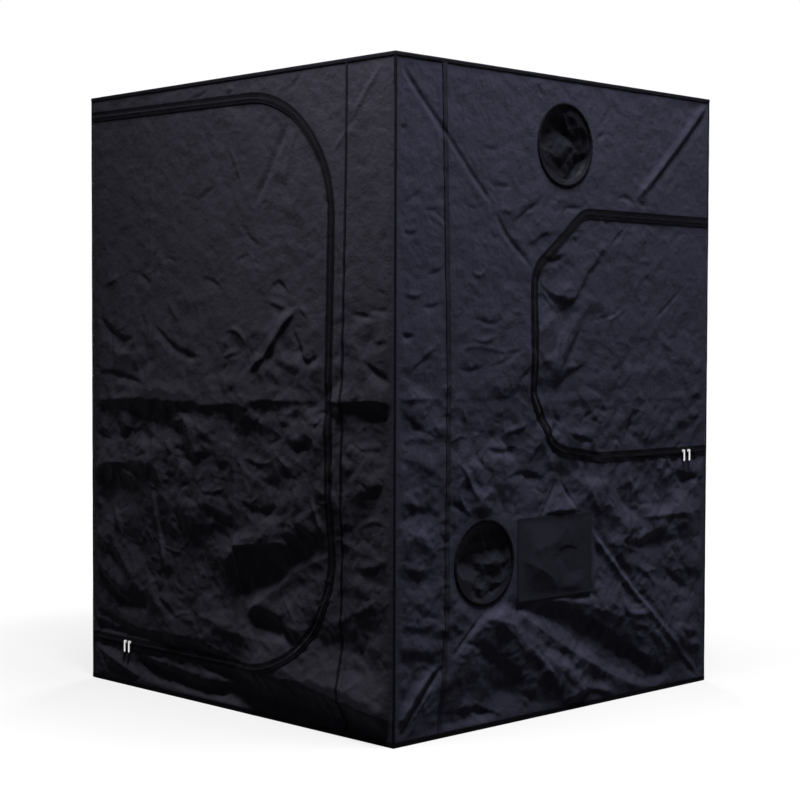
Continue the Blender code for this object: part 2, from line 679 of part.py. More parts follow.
def build_frame():
    """Posts, beams and roof bars, joined by corner sockets."""
    build_corner_sockets()
    low = POLE_LOW + SOCKET_STOP + GAP
    high = POLE_HIGH - SOCKET_STOP - GAP
    for name, (side_x, side_y) in CORNERS.items():
        x = side_x * POLE_X
        y = side_y * POLE_Y
        tube("post_" + name, Vector((x, y, low)), Vector((x, y, high)), FINISH["steel"])
    reach_x = POLE_X - SOCKET_STOP - GAP
    reach_y = POLE_Y - SOCKET_STOP - GAP
    for level, z in {"bottom": POLE_LOW, "top": POLE_HIGH}.items():
        for name, y in {"front": -POLE_Y, "back": POLE_Y}.items():
            tube(f"{level}_beam_{name}", Vector((-reach_x, y, z)), Vector((reach_x, y, z)),
                 FINISH["steel"])
        for name, x in {"left": -POLE_X, "right": POLE_X}.items():
            tube(f"{level}_beam_{name}", Vector((x, -reach_y, z)), Vector((x, reach_y, z)),
                 FINISH["steel"])
    build_roof_bars()


def build_corner_sockets():
    """Eight alike three-way sockets, each turned to face along its own three poles."""
    arms = (Vector((1.0, 0.0, 0.0)), Vector((0.0, 1.0, 0.0)), Vector((0.0, 0.0, 1.0)))
    back = SOCKET_RADIUS * SOCKET_BACK_SHARE
    across, along, up = [hidden_bar("arm", -arm * back, arm * SOCKET_LENGTH, SOCKET_RADIUS)
                         for arm in arms]
    steps = [("UNION", across), ("UNION", along)]
    for number, arm in enumerate(arms):
        start = arm * SOCKET_STOP
        end = arm * (SOCKET_LENGTH + CUT_OVERRUN)
        steps.append(("DIFFERENCE", hidden_bar(f"bore_{number}", start, end, POLE_RADIUS + GAP)))
    mesh = combine(up, steps)
    for level, z, lift in (("bottom", POLE_LOW, 1), ("top", POLE_HIGH, -1)):
        for name, (side_x, side_y) in CORNERS.items():
            flip = Matrix.Diagonal((-side_x, -side_y, lift)).to_4x4()
            copy = mesh.copy()
            copy.transform(Matrix.Translation((side_x * POLE_X, side_y * POLE_Y, z)) @ flip)
            if side_x * side_y * lift < 0:
                copy.flip_normals()
            add_mesh_object(f"corner_socket_{level}_{name}", copy, FINISH["plastic"], smooth=True)


def build_roof_bars():
    """Two bars across the roof, clipped over the side beams so that they can slide."""
    along = Vector((1.0, 0.0, 0.0))
    across = Vector((0.0, 1.0, 0.0))
    reach = POLE_X
    base = loft("bar_base", [polygon_ring(-along * reach, along, POLE_RADIUS),
                             polygon_ring(along * reach, along, POLE_RADIUS)], FINISH["cutter"])
    steps = []
    for side in (-1, 1):
        middle = along * side * reach
        half = across * CLIP_WIDTH / 2
        steps.append(("UNION", hidden_bar("clip", middle - half, middle + half, SOCKET_RADIUS)))
    for side in (-1, 1):
        middle = along * side * reach
        half = across * (CLIP_WIDTH / 2 + CUT_OVERRUN)
        bore = hidden_bar("clip_bore", middle - half, middle + half, POLE_RADIUS + GAP)
        steps.append(("DIFFERENCE", bore))
        outer = side * (reach + SOCKET_RADIUS + CUT_OVERRUN)
        low = (min(side * reach, outer), -half.y, -CLIP_SLOT / 2)
        high = (max(side * reach, outer), half.y, CLIP_SLOT / 2)
        steps.append(("DIFFERENCE", hidden_box("clip_slot", low, high)))
    bore_reach = along * (reach - SOCKET_RADIUS - BAR_PLUG)
    bore = hidden_bar("bar_bore", -bore_reach, bore_reach, POLE_RADIUS - POLE_WALL)
    steps.append(("DIFFERENCE", bore))
    for side in (-1, 1):
        middle = along * side * DRAIN_HOLE_OFFSET
        down = middle - Vector((0.0, 0.0, POLE_RADIUS + CUT_OVERRUN))
        hole = hidden_bar("drain", down, middle, DRAIN_HOLE_RADIUS, DRAIN_HOLE_SIDES)
        steps.append(("DIFFERENCE", hole))
    mesh = combine(base, steps)
    for name, y in {"front": -ROOF_BAR_OFFSET, "back": ROOF_BAR_OFFSET}.items():
        bar = add_mesh_object("roof_bar_" + name, mesh.copy(), FINISH["steel"], smooth=True)
        bar.location = (0.0, y, POLE_HIGH)


def build_floor_tray():
    """A shallow tray that lies on the ground sheet inside the bottom frame."""
    half_x = POLE_X - SOCKET_RADIUS - TRAY_CLEARANCE
    half_y = POLE_Y - SOCKET_RADIUS - TRAY_CLEARANCE
    floor = WALL_BOTTOM
    rings = []
    for inset, z in ((0, floor), (0, floor + TRAY_HEIGHT), (CLOTH, floor + TRAY_HEIGHT),
                     (CLOTH, floor + CLOTH)):
        flat = rectangle((-half_x + inset, -half_y + inset), (half_x - inset, half_y - inset))
        rings.append([Vector((x, y, z)) for x, y in flat])
    loft("floor_tray", rings, FINISH["liner"])


def slider_mesh():
    """A slider body with a bail over it. X runs along the zip and Z points out of the cloth."""
    half = SLIDER_LENGTH / 2
    side = SLIDER_WIDTH / 2
    nose = SLIDER_NOSE
    flat = [(-half, -side + nose), (-half + nose, -side), (half - nose, -side),
            (half, -side + nose), (half, side - nose), (half - nose, side),
            (-half + nose, side), (-half, side - nose)]
    rings = [[Vector((x, y, z)) for x, y in flat] for z in (0.0, SLIDER_THICKNESS)]
    base = loft("slider_base", rings, FINISH["cutter"])
    bar_top = bail_height() + BAIL_BAR / 2
    sink = SLIDER_THICKNESS / 2
    outer = hidden_box("bail", (-BAIL_SPAN / 2, -BAIL_BAR / 2, sink),
                       (BAIL_SPAN / 2, BAIL_BAR / 2, bar_top))
    gap_half = BAIL_SPAN / 2 - BAIL_BAR
    inner = hidden_box("bail_gap", (-gap_half, -side, SLIDER_THICKNESS),
                       (gap_half, side, bail_height() - BAIL_BAR / 2))
    return combine(base, [("UNION", outer), ("DIFFERENCE", inner)])


def bail_height():
    """How far the bail's bar lies above the slider's back."""
    return SLIDER_THICKNESS + PULL_LIFT + PULL_BARREL_RADIUS


def pull_mesh():
    """A pull tab that hangs along -Y from a barrel on the X axis."""
    along = Vector((1.0, 0.0, 0.0))
    half = along * PULL_BARREL_LENGTH / 2
    sides = PULL_BARREL_SIDES
    rings = [polygon_ring(-half, along, PULL_BARREL_RADIUS, sides),
             polygon_ring(half, along, PULL_BARREL_RADIUS, sides),
             polygon_ring(half, along, PULL_BORE_RADIUS, sides),
             polygon_ring(-half, along, PULL_BORE_RADIUS, sides)]
    base = loft("pull_base", rings, FINISH["cutter"], closed=True)
    neck = -(PULL_BARREL_RADIUS + PULL_BORE_RADIUS) / 2
    reach = PULL_WIDTH / 2
    shoulder = -PULL_BARREL_RADIUS - PULL_LIFT
    tip = PULL_TIP_RADIUS
    flat = [(-half.x, neck), (-half.x, shoulder), (-reach, shoulder - tip / 2),
            (-reach, -PULL_LENGTH + tip), (-reach + tip, -PULL_LENGTH),
            (reach - tip, -PULL_LENGTH), (reach, -PULL_LENGTH + tip),
            (reach, shoulder - tip / 2), (half.x, shoulder), (half.x, neck)]
    plate = hide(loft("pull_plate", [[Vector((x, y, z)) for x, y in flat]
                                     for z in (-PULL_THICKNESS / 2, PULL_THICKNESS / 2)],
                      FINISH["cutter"]))
    return combine(base, [("UNION", plate)])


def build_sliders():
    """Two sliders on each zip, each with a pull tab on its bail."""
    slider = slider_mesh()
    pull = pull_mesh()
    upright = Matrix.Rotation(pi / 2, 3, "X")
    runs = ((FRONT, DOOR_SLIDERS, DOOR_BOTTOM), (SIDE, WINDOW_SLIDERS, WINDOW_BOTTOM))
    for wall, sliders, z in runs:
        facing = (wall.turn @ upright).to_4x4()
        for name, u in sliders.items():
            body = add_mesh_object(name, slider.copy(), FINISH["metal"])
            body.data.transform(facing)
            body.location = wall.place(u, z, GAP)
            tab = add_mesh_object(name.replace("slider", "pull"), pull.copy(), FINISH["metal"])
            tab.data.transform(facing)
            tab.location = wall.place(u, z, GAP + bail_height())


def build_tent():
    build_frame()
    build_floor_tray()
    build_plain_walls()
    build_front()
    build_side()
    build_bindings()
    build_zipped_leaf("door", FRONT, door_path(), DOOR_FOLDS)
    build_zipped_leaf("window", SIDE, window_path(), WINDOW_FOLDS)
    build_ports()
    build_vent()
    build_sliders()


for old in list(bpy.data.objects):
    bpy.data.objects.remove(old)

FINISH = {
    "cloth": make_material("black_oxford_cloth", (0.017, 0.016, 0.022), 0.55),
    "tape": make_material("black_tape", (0.009, 0.009, 0.012), 0.75),
    "sleeve": make_material("black_sleeve_cloth", (0.010, 0.010, 0.013), 0.6),
    "flap": make_material("black_flap_cloth", (0.014, 0.014, 0.019), 0.8),
    "mesh": make_material("black_mesh", (0.012, 0.012, 0.012), 0.8),
    "ground": make_material("black_ground_sheet", (0.012, 0.012, 0.014), 0.7),
    "liner": make_material("silver_liner", (0.62, 0.63, 0.65), 0.3, 0.9),
    "steel": make_material("white_painted_steel", (0.72, 0.72, 0.70), 0.4),
    "plastic": make_material("black_plastic", (0.02, 0.02, 0.02), 0.5),
    "metal": make_material("zip_metal", (0.62, 0.63, 0.64), 0.3, 1.0),
    "cutter": make_material("shaping_only", (0.5, 0.5, 0.5), 0.5),
}

build_tent()
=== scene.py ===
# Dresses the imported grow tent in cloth, tapes, zips and metal, and sets the light and the camera.
#
# Lengths are in metres. The front wall faces -Y, the side wall with the window faces +X, Z is up.
# A wall's own places are (u, v): u runs to the right as seen from outside, and v is the height.

import bmesh
import bpy
import numpy as np
from math import atan2, cos, pi, radians, sin, sqrt
from mathutils import Matrix, Vector
from mathutils.geometry import delaunay_2d_cdt
from mathutils.kdtree import KDTree


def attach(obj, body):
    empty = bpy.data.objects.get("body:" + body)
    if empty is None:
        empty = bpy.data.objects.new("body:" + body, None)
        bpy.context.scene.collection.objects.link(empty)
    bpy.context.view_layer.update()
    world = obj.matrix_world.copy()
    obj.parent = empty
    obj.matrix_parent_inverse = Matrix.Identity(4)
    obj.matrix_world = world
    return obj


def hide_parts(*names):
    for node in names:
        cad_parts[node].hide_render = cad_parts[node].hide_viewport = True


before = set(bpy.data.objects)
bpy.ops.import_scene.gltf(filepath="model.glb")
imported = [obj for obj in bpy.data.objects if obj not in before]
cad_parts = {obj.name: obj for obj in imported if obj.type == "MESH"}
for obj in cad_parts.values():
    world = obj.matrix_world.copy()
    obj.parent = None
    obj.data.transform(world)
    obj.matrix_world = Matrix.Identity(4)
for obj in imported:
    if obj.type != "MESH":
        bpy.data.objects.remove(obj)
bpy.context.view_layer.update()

# Half of the tent's width and depth, and its height
HALF = 0.75
TOP = 2.0
CORNERS = ((-1, -1), (1, -1), (1, 1), (-1, 1))

# Where the outer faces of cloth and tape lie against a wall's plane, and how thick they are
CLOTH_OUT = -0.0018
CLOTH_THICKNESS = 0.0010
TAPE_OUT = 0.0
TAPE_THICKNESS = 0.0011
SEAM_LIFT = 0.0003
THIN_CLOTH = 0.0009

# The grid that holds the relief of the cloth, and how far round a tilted plane the cloth gives
RELIEF_STEP = 0.003
PLANE_REACH = 0.11

# Spacing of the points along a fold, how sharp its crest is, from 0 to 1, and how many steps of
# the grid round a place are pressed with it
FOLD_STEP = 0.012
SHARPNESS = 0.8
PRESS_REACH = 7

# Spacing of the meshes. Above one level the walls need fewer points
FINE = 0.0052
UPPER = 0.0064
PLAIN = 0.011
PLAIN_UPPER = 0.013
ROOF_STEP = 0.0105
TAPE_STEP = 0.0048
SLEEVE_STEP = 0.0036
FLAP_STEP = 0.004
GROUND_STEP = 0.03
UPPER_LEVEL = 1.02

# The narrowest tape that a sheet may be said to be
NARROWEST = 0.0101

# Edges that turn more than this look sharp
CRISP = radians(50)

# How far the front cloth sinks where it rolls round the near post
ROLL_DEPTH = 0.0026

# Duct ports, vent flap and net, and the height and ends of the sliders' runs
PORTS = ((-0.005, 1.789), (-0.367, 0.507))
PORT_RADIUS = 0.133
RIM_WIDTH = 0.012
RIM_STITCH_RADIUS = 0.1304
SLEEVE_RADIUS = 0.1236
SLEEVE_OUT = -0.0022
NET_LOW = (-0.199, 0.388)
NET_HIGH = (0.115, 0.609)
NET_PITCH = 0.0026
FLAP_LOW = (-0.218, 0.369)
FLAP_HIGH = (0.134, 0.628)
DOOR_RUN = (0.149, -0.695, 0.035)
WINDOW_RUN = (0.801, 0.22, 0.686)

# Ends of the upright bindings, and points along each piece that is carried round or spun
BINDING_LOW = 0.0186
BINDING_HIGH = 1.9872
BINDING_STEP = 0.0123
SIDE_STEPS = 120
RIM_STEPS = 144
SLEEVE_RIM_STEPS = 120

# The tray's half width, height and mesh, and the thicknesses of the tray and the ground sheet
TRAY_HALF = 0.715
TRAY_HEIGHT = 0.060
TRAY_STEP = 0.012
TRAY_THICKNESS = 0.0011
GROUND_THICKNESS = 0.0015

# Stitches and zip coils are bars set at one pitch along a line, and the net's strands are round.
# The shifts are the distances of coils and stitches from the zip's own line.
STITCH_SIZES = {"Pitch": 0.0056, "Length": 0.0034, "Radius": 0.00038, "Slant": 0.0}
COIL_SIZES = {"Pitch": 0.0024, "Length": 0.0026, "Radius": 0.00062, "Slant": 0.22}
STRAND_SIZES = {"Radius": 0.0004}
COIL_SHIFT = 0.0011
COIL_OUT = TAPE_OUT - 0.0005
STITCH_SHIFTS = (0.0045, 0.0142)

# How far the studio floor runs out, the grey fill of the world, and the lamps: name, place, what
# they aim at, width and watts
FLOOR_REACH = 60.0
WORLD_FILL = 0.02
LAMPS = (
    ("front_top", (0.6, -1.25, 4.0), (2.2, -0.75, 0.9), 0.6, 600),
    ("side_top", (1.55, -0.1, 5.4), (0.75, 0.0, 0.9), 1.1, 1120),
    ("back_top", (-1.9, 2.1, 4.6), (-0.3, 0.3, 0.8), 1.0, 600),
    ("left_fill", (-3.4, -4.4, 3.4), (-0.1, -0.75, 1.0), 1.4, 8),
    ("right_fill", (4.2, 3.6, 3.4), (0.75, 0.1, 1.0), 1.4, 22),
)

# The photograph's viewpoint, found from the tent's corners: place, lens, and the degrees that it
# is turned round the tent, raised and tipped
CAMERA_PLACE = (4.43069, -4.32606, 1.19491)
CAMERA_ANGLES = (45.649, 2.108, 0.183)
CAMERA_LENS = 80.83

# Folds of the front wall, in millimetres: depth, how far the fold runs out to the left and to the
# right of its line, and the line. A fold of negative depth is pressed in.
FRONT_FOLDS = (
    (-2.5, 14, 22, ((-40, 1670), (-120, 1638), (-189, 1599))),
    (2.5, 14, 16, ((-8, 1808), (26, 1738), (64, 1669), (87, 1626))),
    (2, 14, 14, ((-22, 1794), (-52, 1729), (-71, 1661))),
    (-5, 22, 30, ((293, 1851), (235, 1761), (189, 1683), (114, 1580))),
    (3, 16, 22, ((330, 1840), (291, 1735), (258, 1621))),
    (-3, 14, 16, ((85, 1541), (103, 1495), (172, 1460))),
    (-2.5, 12, 14, ((120, 1424), (167, 1401))),
    (-2.5, 14, 14, ((26, 1415), (97, 1436), (138, 1409))),
    (7, 26, 20, ((97, 1066), (201, 1138), (269, 1212), (342, 1281))),
    (3, 16, 14, ((342, 1278), (391, 1241))),
    (3, 14, 12, ((172, 1301), (235, 1285), (308, 1266))),
    (-4, 16, 20, ((201, 1322), (247, 1351), (308, 1306))),
    (-5, 20, 26, ((314, 1215), (353, 1147), (386, 1107), (456, 1140))),
    (3.5, 14, 12, ((-22, 1201), (44, 1203), (85, 1178), (97, 1137))),
    (3.5, 12, 10, ((-23, 1117), (61, 1138))),
    (-3, 12, 12, ((8, 1106), (-17, 1064))),
    (-4, 26, 20, ((-390, 1228), (-299, 1165), (-234, 1134), (-121, 1100))),
    (-3, 14, 14, ((-234, 1154), (-183, 1127), (-96, 1112))),
    (-6, 30, 36, ((-714, 1254), (-622, 1200), (-560, 1172), (-478, 1180))),
    (3, 18, 18, ((-692, 1352), (-608, 1375), (-552, 1394))),
    (-4, 20, 24, ((-723, 1059), (-609, 1057), (-418, 1025))),
    (3, 18, 12, ((691, 1964), (615, 1882), (559, 1811))),
    (3, 12, 12, ((551, 1801), (518, 1761), (481, 1722))),
    (-2.5, 14, 14, ((346, 1982), (318, 1956), (285, 1927))),
    (-6, 22, 26, ((618, 1121), (674, 1083), (729, 1053), (744, 1012))),
    (-3, 12, 14, ((551, 1254), (623, 1247), (704, 1234))),
    (-2.5, 12, 14, ((633, 1264), (743, 1260))),
    (2.5, 12, 12, ((654, 1166), (734, 1181))),
    (2.5, 30, 26, ((330, 1732), (333, 1631), (330, 1516))),
    (-2.5, 14, 14, ((-220, 1944), (-144, 1955), (-70, 1980))),
    (2.5, 14, 14, ((-34, 1957), (26, 1959))),
    (2.5, 22, 22, ((-324, 1322), (-272, 1259), (-221, 1228))),
    (-3, 20, 24, ((-145, 1374), (-71, 1357), (-10, 1318))),
    (-3, 18, 20, ((-497, 1405), (-416, 1364), (-403, 1324))),
    (-3, 18, 14, ((444, 1604), (476, 1567))),
    (-4, 30, 26, ((-299, 842), (-204, 805), (-111, 777))),
    (6, 34, 26, ((-734, 726), (-628, 753), (-526, 754), (-397, 728))),
    (6, 46, 46, ((-735, 470), (-615, 463), (-469, 330))),
    (-7, 40, 34, ((-736, 400), (-645, 338), (-542, 280), (-398, 312))),
    (6, 16, 20, ((-390, 711), (-376, 602), (-349, 487), (-321, 392))),
    (-5, 24, 24, ((-321, 371), (-370, 324), (-328, 295), (-253, 257))),
    (3, 12, 12, ((-280, 463), (-225, 506), (-171, 547))),
    (-8, 60, 60, ((-138, 636), (-34, 595), (68, 563))),
    (6, 26, 20, ((-8, 524), (143, 539), (300, 559))),
    (-10, 60, 50, ((17, 382), (143, 435), (264, 501), (381, 558))),
    (9, 46, 60, ((68, 307), (216, 403), (358, 487), (479, 536))),
    (-8, 30, 34, ((81, 304), (180, 316), (264, 287), (347, 246))),
    (4, 18, 14, ((258, 391), (294, 356), (329, 310))),
    (4, 12, 14, ((416, 496), (425, 448), (428, 383))),
    (4, 14, 14, ((234, 831), (299, 787), (364, 741))),
    (5, 12, 16, ((398, 720), (421, 661), (462, 565))),
    (-6, 24, 28, ((311, 637), (346, 602), (416, 569))),
    (-5, 26, 22, ((323, 831), (381, 857), (427, 874))),
    (-6, 36, 30, ((-737, 240), (-601, 203), (-456, 186))),
    (9, 60, 60, ((-205, 300), (-60, 268), (118, 241), (300, 248))),
    (-6, 40, 36, ((-737, 165), (-528, 178), (-273, 184), (-60, 170))),
    (7, 50, 40, ((-470, 159), (-274, 133), (-34, 132), (143, 141))),
    (14, 90, 70, ((43, 127), (264, 150), (496, 129), (640, 105), (752, 63))),
    (-9, 50, 50, ((-520, 85), (-200, 70), (68, 58), (336, 52), (519, 45), (720, 30))),
    (6, 26, 20, ((-737, 112), (-617, 79), (-463, 31))),
    (7, 34, 26, ((-456, 109), (-246, 78), (-34, 55))),
    (-3, 30, 40, ((600, 500), (671, 502), (740, 532))),
    (-3.5, 40, 50, ((575, 360), (650, 374), (745, 400))),
    (-3, 20, 34, ((580, 720), (649, 722), (735, 772))),
    (3, 30, 20, ((580, 900), (648, 928), (735, 900))),
    (3, 18, 18, ((584, 613), (660, 649), (744, 634))),
    (4, 22, 22, ((-598, 906), (-496, 876), (-410, 913))),
    (4, 24, 24, ((-327, 891), (-245, 910), (-177, 938))),
    (-4, 24, 24, ((-733, 849), (-658, 843), (-613, 819))),
    (5, 22, 16, ((-629, 627), (-600, 569), (-563, 520))),
    (-5, 30, 30, ((-272, 793), (-151, 791), (-59, 812))),
    (4, 18, 18, ((-138, 694), (-85, 689), (5, 707))),
    (-5, 26, 26, ((68, 667), (167, 642), (264, 665))),
    (4, 20, 16, ((68, 810), (167, 792), (240, 804))),
)

# Folds of the side wall with the window
SIDE_FOLDS = (
    (-4.2, 15, 14, ((-735, 1975), (-679, 1915), (-553, 1796), (-445, 1687), (-351, 1598),
                    (-322, 1571))),
    (-4.6, 15, 14, ((-335, 1575), (-273, 1493), (-218, 1450), (-140, 1385))),
    (3, 12, 12, ((-322, 1571), (-280, 1569), (-238, 1559))),
    (7, 30, 20, ((742, 1990), (656, 1905), (553, 1808), (453, 1721), (345, 1630))),
    (-4, 22, 22, ((749, 1966), (627, 1849), (496, 1733), (404, 1648))),
    (-4, 16, 14, ((244, 1630), (299, 1642), (355, 1615))),
    (-4, 12, 12, ((362, 1637), (419, 1609))),
    (-3.5, 14, 14, ((314, 1556), (259, 1510), (212, 1470))),
    (2.5, 12, 10, ((-125, 1351), (-81, 1300), (-30, 1262), (-13, 1207))),
    (4, 14, 20, ((-18, 1215), (-37, 1132), (-46, 1040))),
    (-4, 18, 26, ((81, 1233), (36, 1151), (-34, 1051))),
    (-2, 10, 10, ((622, 1365), (531, 1298), (431, 1231))),
    (-1.6, 9, 9, ((300, 1290), (240, 1262), (170, 1245), (110, 1230))),
    (-1.6, 9, 9, ((-360, 1090), (-280, 1115), (-200, 1150))),
    (2, 12, 12, ((317, 1287), (249, 1251), (168, 1233))),
    (-4, 18, 16, ((-94, 1434), (-56, 1423), (-6, 1445))),
    (-4, 16, 14, ((-157, 1469), (-108, 1500), (-57, 1508))),
    (-3.5, 14, 14, ((20, 1509), (46, 1493), (72, 1499))),
    (-4, 14, 12, ((-26, 1570), (6, 1592), (97, 1593))),
    (-3, 12, 12, ((-237, 1537), (-183, 1574), (-115, 1612))),
    (3, 14, 12, ((-207, 1557), (-146, 1576))),
    (-2.5, 10, 10, ((-442, 1249), (-395, 1238), (-349, 1228), (-279, 1239))),
    (1.6, 10, 10, ((-487, 1146), (-395, 1157), (-276, 1141), (-198, 1161))),
    (-3, 14, 14, ((-504, 1099), (-441, 1086), (-348, 1105))),
    (3, 12, 12, ((-443, 1387), (-396, 1369), (-350, 1394))),
    (-3, 14, 14, ((-399, 1761), (-352, 1749), (-293, 1761))),
    (-2.5, 12, 12, ((-375, 1644), (-304, 1644), (-232, 1645))),
    (-4, 18, 18, ((-227, 1043), (-178, 1075), (-154, 1107))),
    (2.5, 12, 12, ((-441, 1189), (-372, 1173), (-301, 1194))),
    (-3.5, 14, 14, ((-730, 1781), (-700, 1788))),
    (-4, 16, 16, ((-729, 1486), (-683, 1484), (-650, 1495))),
    (-4, 14, 16, ((-727, 1196), (-697, 1187), (-660, 1190))),
    (3, 12, 12, ((-648, 1119), (-610, 1142), (-571, 1158))),
    (-4, 14, 16, ((-697, 1078), (-643, 1108), (-588, 1135))),
    (-3, 12, 12, ((-721, 1570), (-678, 1587), (-635, 1613))),
    (-3, 12, 12, ((-634, 1551), (-590, 1557), (-568, 1566))),
    (-3, 14, 14, ((-622, 1367), (-578, 1376), (-545, 1392))),
    (3, 12, 12, ((-719, 1319), (-676, 1304), (-622, 1313))),
    (-3, 12, 14, ((-644, 1274), (-600, 1274), (-550, 1287))),
    (-3, 12, 12, ((-143, 1965), (-118, 1939), (-87, 1929))),
    (-3, 12, 12, ((-11, 1965), (9, 1938), (15, 1918))),
    (-3, 12, 12, ((201, 1846), (161, 1825), (134, 1806))),
    (3, 12, 12, ((-186, 1973), (-137, 1969), (-74, 1980))),
    (-3.5, 9, 14, ((-130, 600), (-75, 677), (-18, 745))),
    (-3.5, 9, 14, ((-18, 745), (35, 679), (95, 595))),
    (8, 18, 30, ((115, 585), (217, 481), (315, 384), (517, 203), (725, 18))),
    (-4, 13, 12, ((-360, 363), (-436, 303), (-527, 222))),
    (-10, 20, 22, ((-529, 222), (-572, 192), (-660, 102), (-740, 9))),
    (9, 30, 22, ((-561, 226), (-627, 176), (-692, 107), (-751, 46))),
    (6, 14, 16, ((-566, 183), (-627, 121), (-698, 45))),
    (9, 90, 60, ((-366, 352), (-245, 281), (-108, 173), (8, 56))),
    (-8, 60, 60, ((-435, 279), (-329, 201), (-170, 89))),
    (-11, 60, 70, ((-160, 375), (-20, 323), (138, 246), (318, 146), (534, 37))),
    (9, 50, 60, ((-234, 354), (-71, 253), (86, 166), (305, 59), (462, 2))),
    (6, 26, 26, ((287, 369), (316, 287), (401, 269), (458, 272))),
    (-7, 40, 40, ((355, 487), (441, 515), (542, 544))),
    (-6, 26, 24, ((561, 745), (629, 715), (728, 705))),
    (6, 30, 30, ((382, 591), (512, 591), (676, 589))),
    (-6, 34, 34, ((500, 421), (589, 358), (680, 313))),
    (-5, 26, 26, ((591, 203), (652, 169), (728, 160))),
    (5, 26, 24, ((356, 434), (428, 400), (486, 332))),
    (-3.5, 12, 12, ((13, 883), (79, 863), (152, 846))),
    (3, 12, 12, ((338, 770), (326, 630), (314, 464))),
    (3, 12, 12, ((-3, 198), (-5, 100), (-2, 15))),
    (-4, 18, 14, ((349, 971), (329, 902), (295, 833))),
    (-5, 26, 22, ((-273, 751), (-200, 763), (-88, 740))),
    (4, 16, 16, ((-484, 738), (-461, 681), (-415, 646))),
    (4, 18, 14, ((-508, 819), (-462, 793), (-427, 735), (-392, 685))),
    (-5, 26, 26, ((-369, 852), (-286, 833), (-201, 853))),
    (3, 14, 14, ((-286, 890), (-214, 903), (-152, 926))),
    (-5, 24, 22, ((-518, 701), (-473, 674), (-438, 680))),
    (4, 14, 14, ((-248, 635), (-229, 567), (-223, 501))),
    (-3, 22, 40, ((-735, 985), (-653, 919), (-553, 884))),
    (3, 40, 36, ((-738, 840), (-641, 817), (-530, 765))),
    (-3, 36, 50, ((-740, 735), (-652, 678), (-550, 655))),
    (3, 36, 40, ((-740, 555), (-651, 585), (-540, 530))),
    (-3, 36, 46, ((-740, 530), (-640, 475), (-550, 505))),
    (3, 40, 36, ((-737, 430), (-650, 413), (-550, 355))),
    (-3.4, 34, 44, ((-740, 360), (-650, 320), (-550, 335))),
    (3, 36, 30, ((-736, 260), (-650, 273), (-555, 230))),
    (5, 26, 22, ((-526, 67), (-434, 77), (-340, 56), (-268, 20))),
    (-5, 22, 22, ((9, 22), (87, 37), (168, 43))),
    (5, 24, 20, ((22, 37), (127, 57), (277, 10))),
)

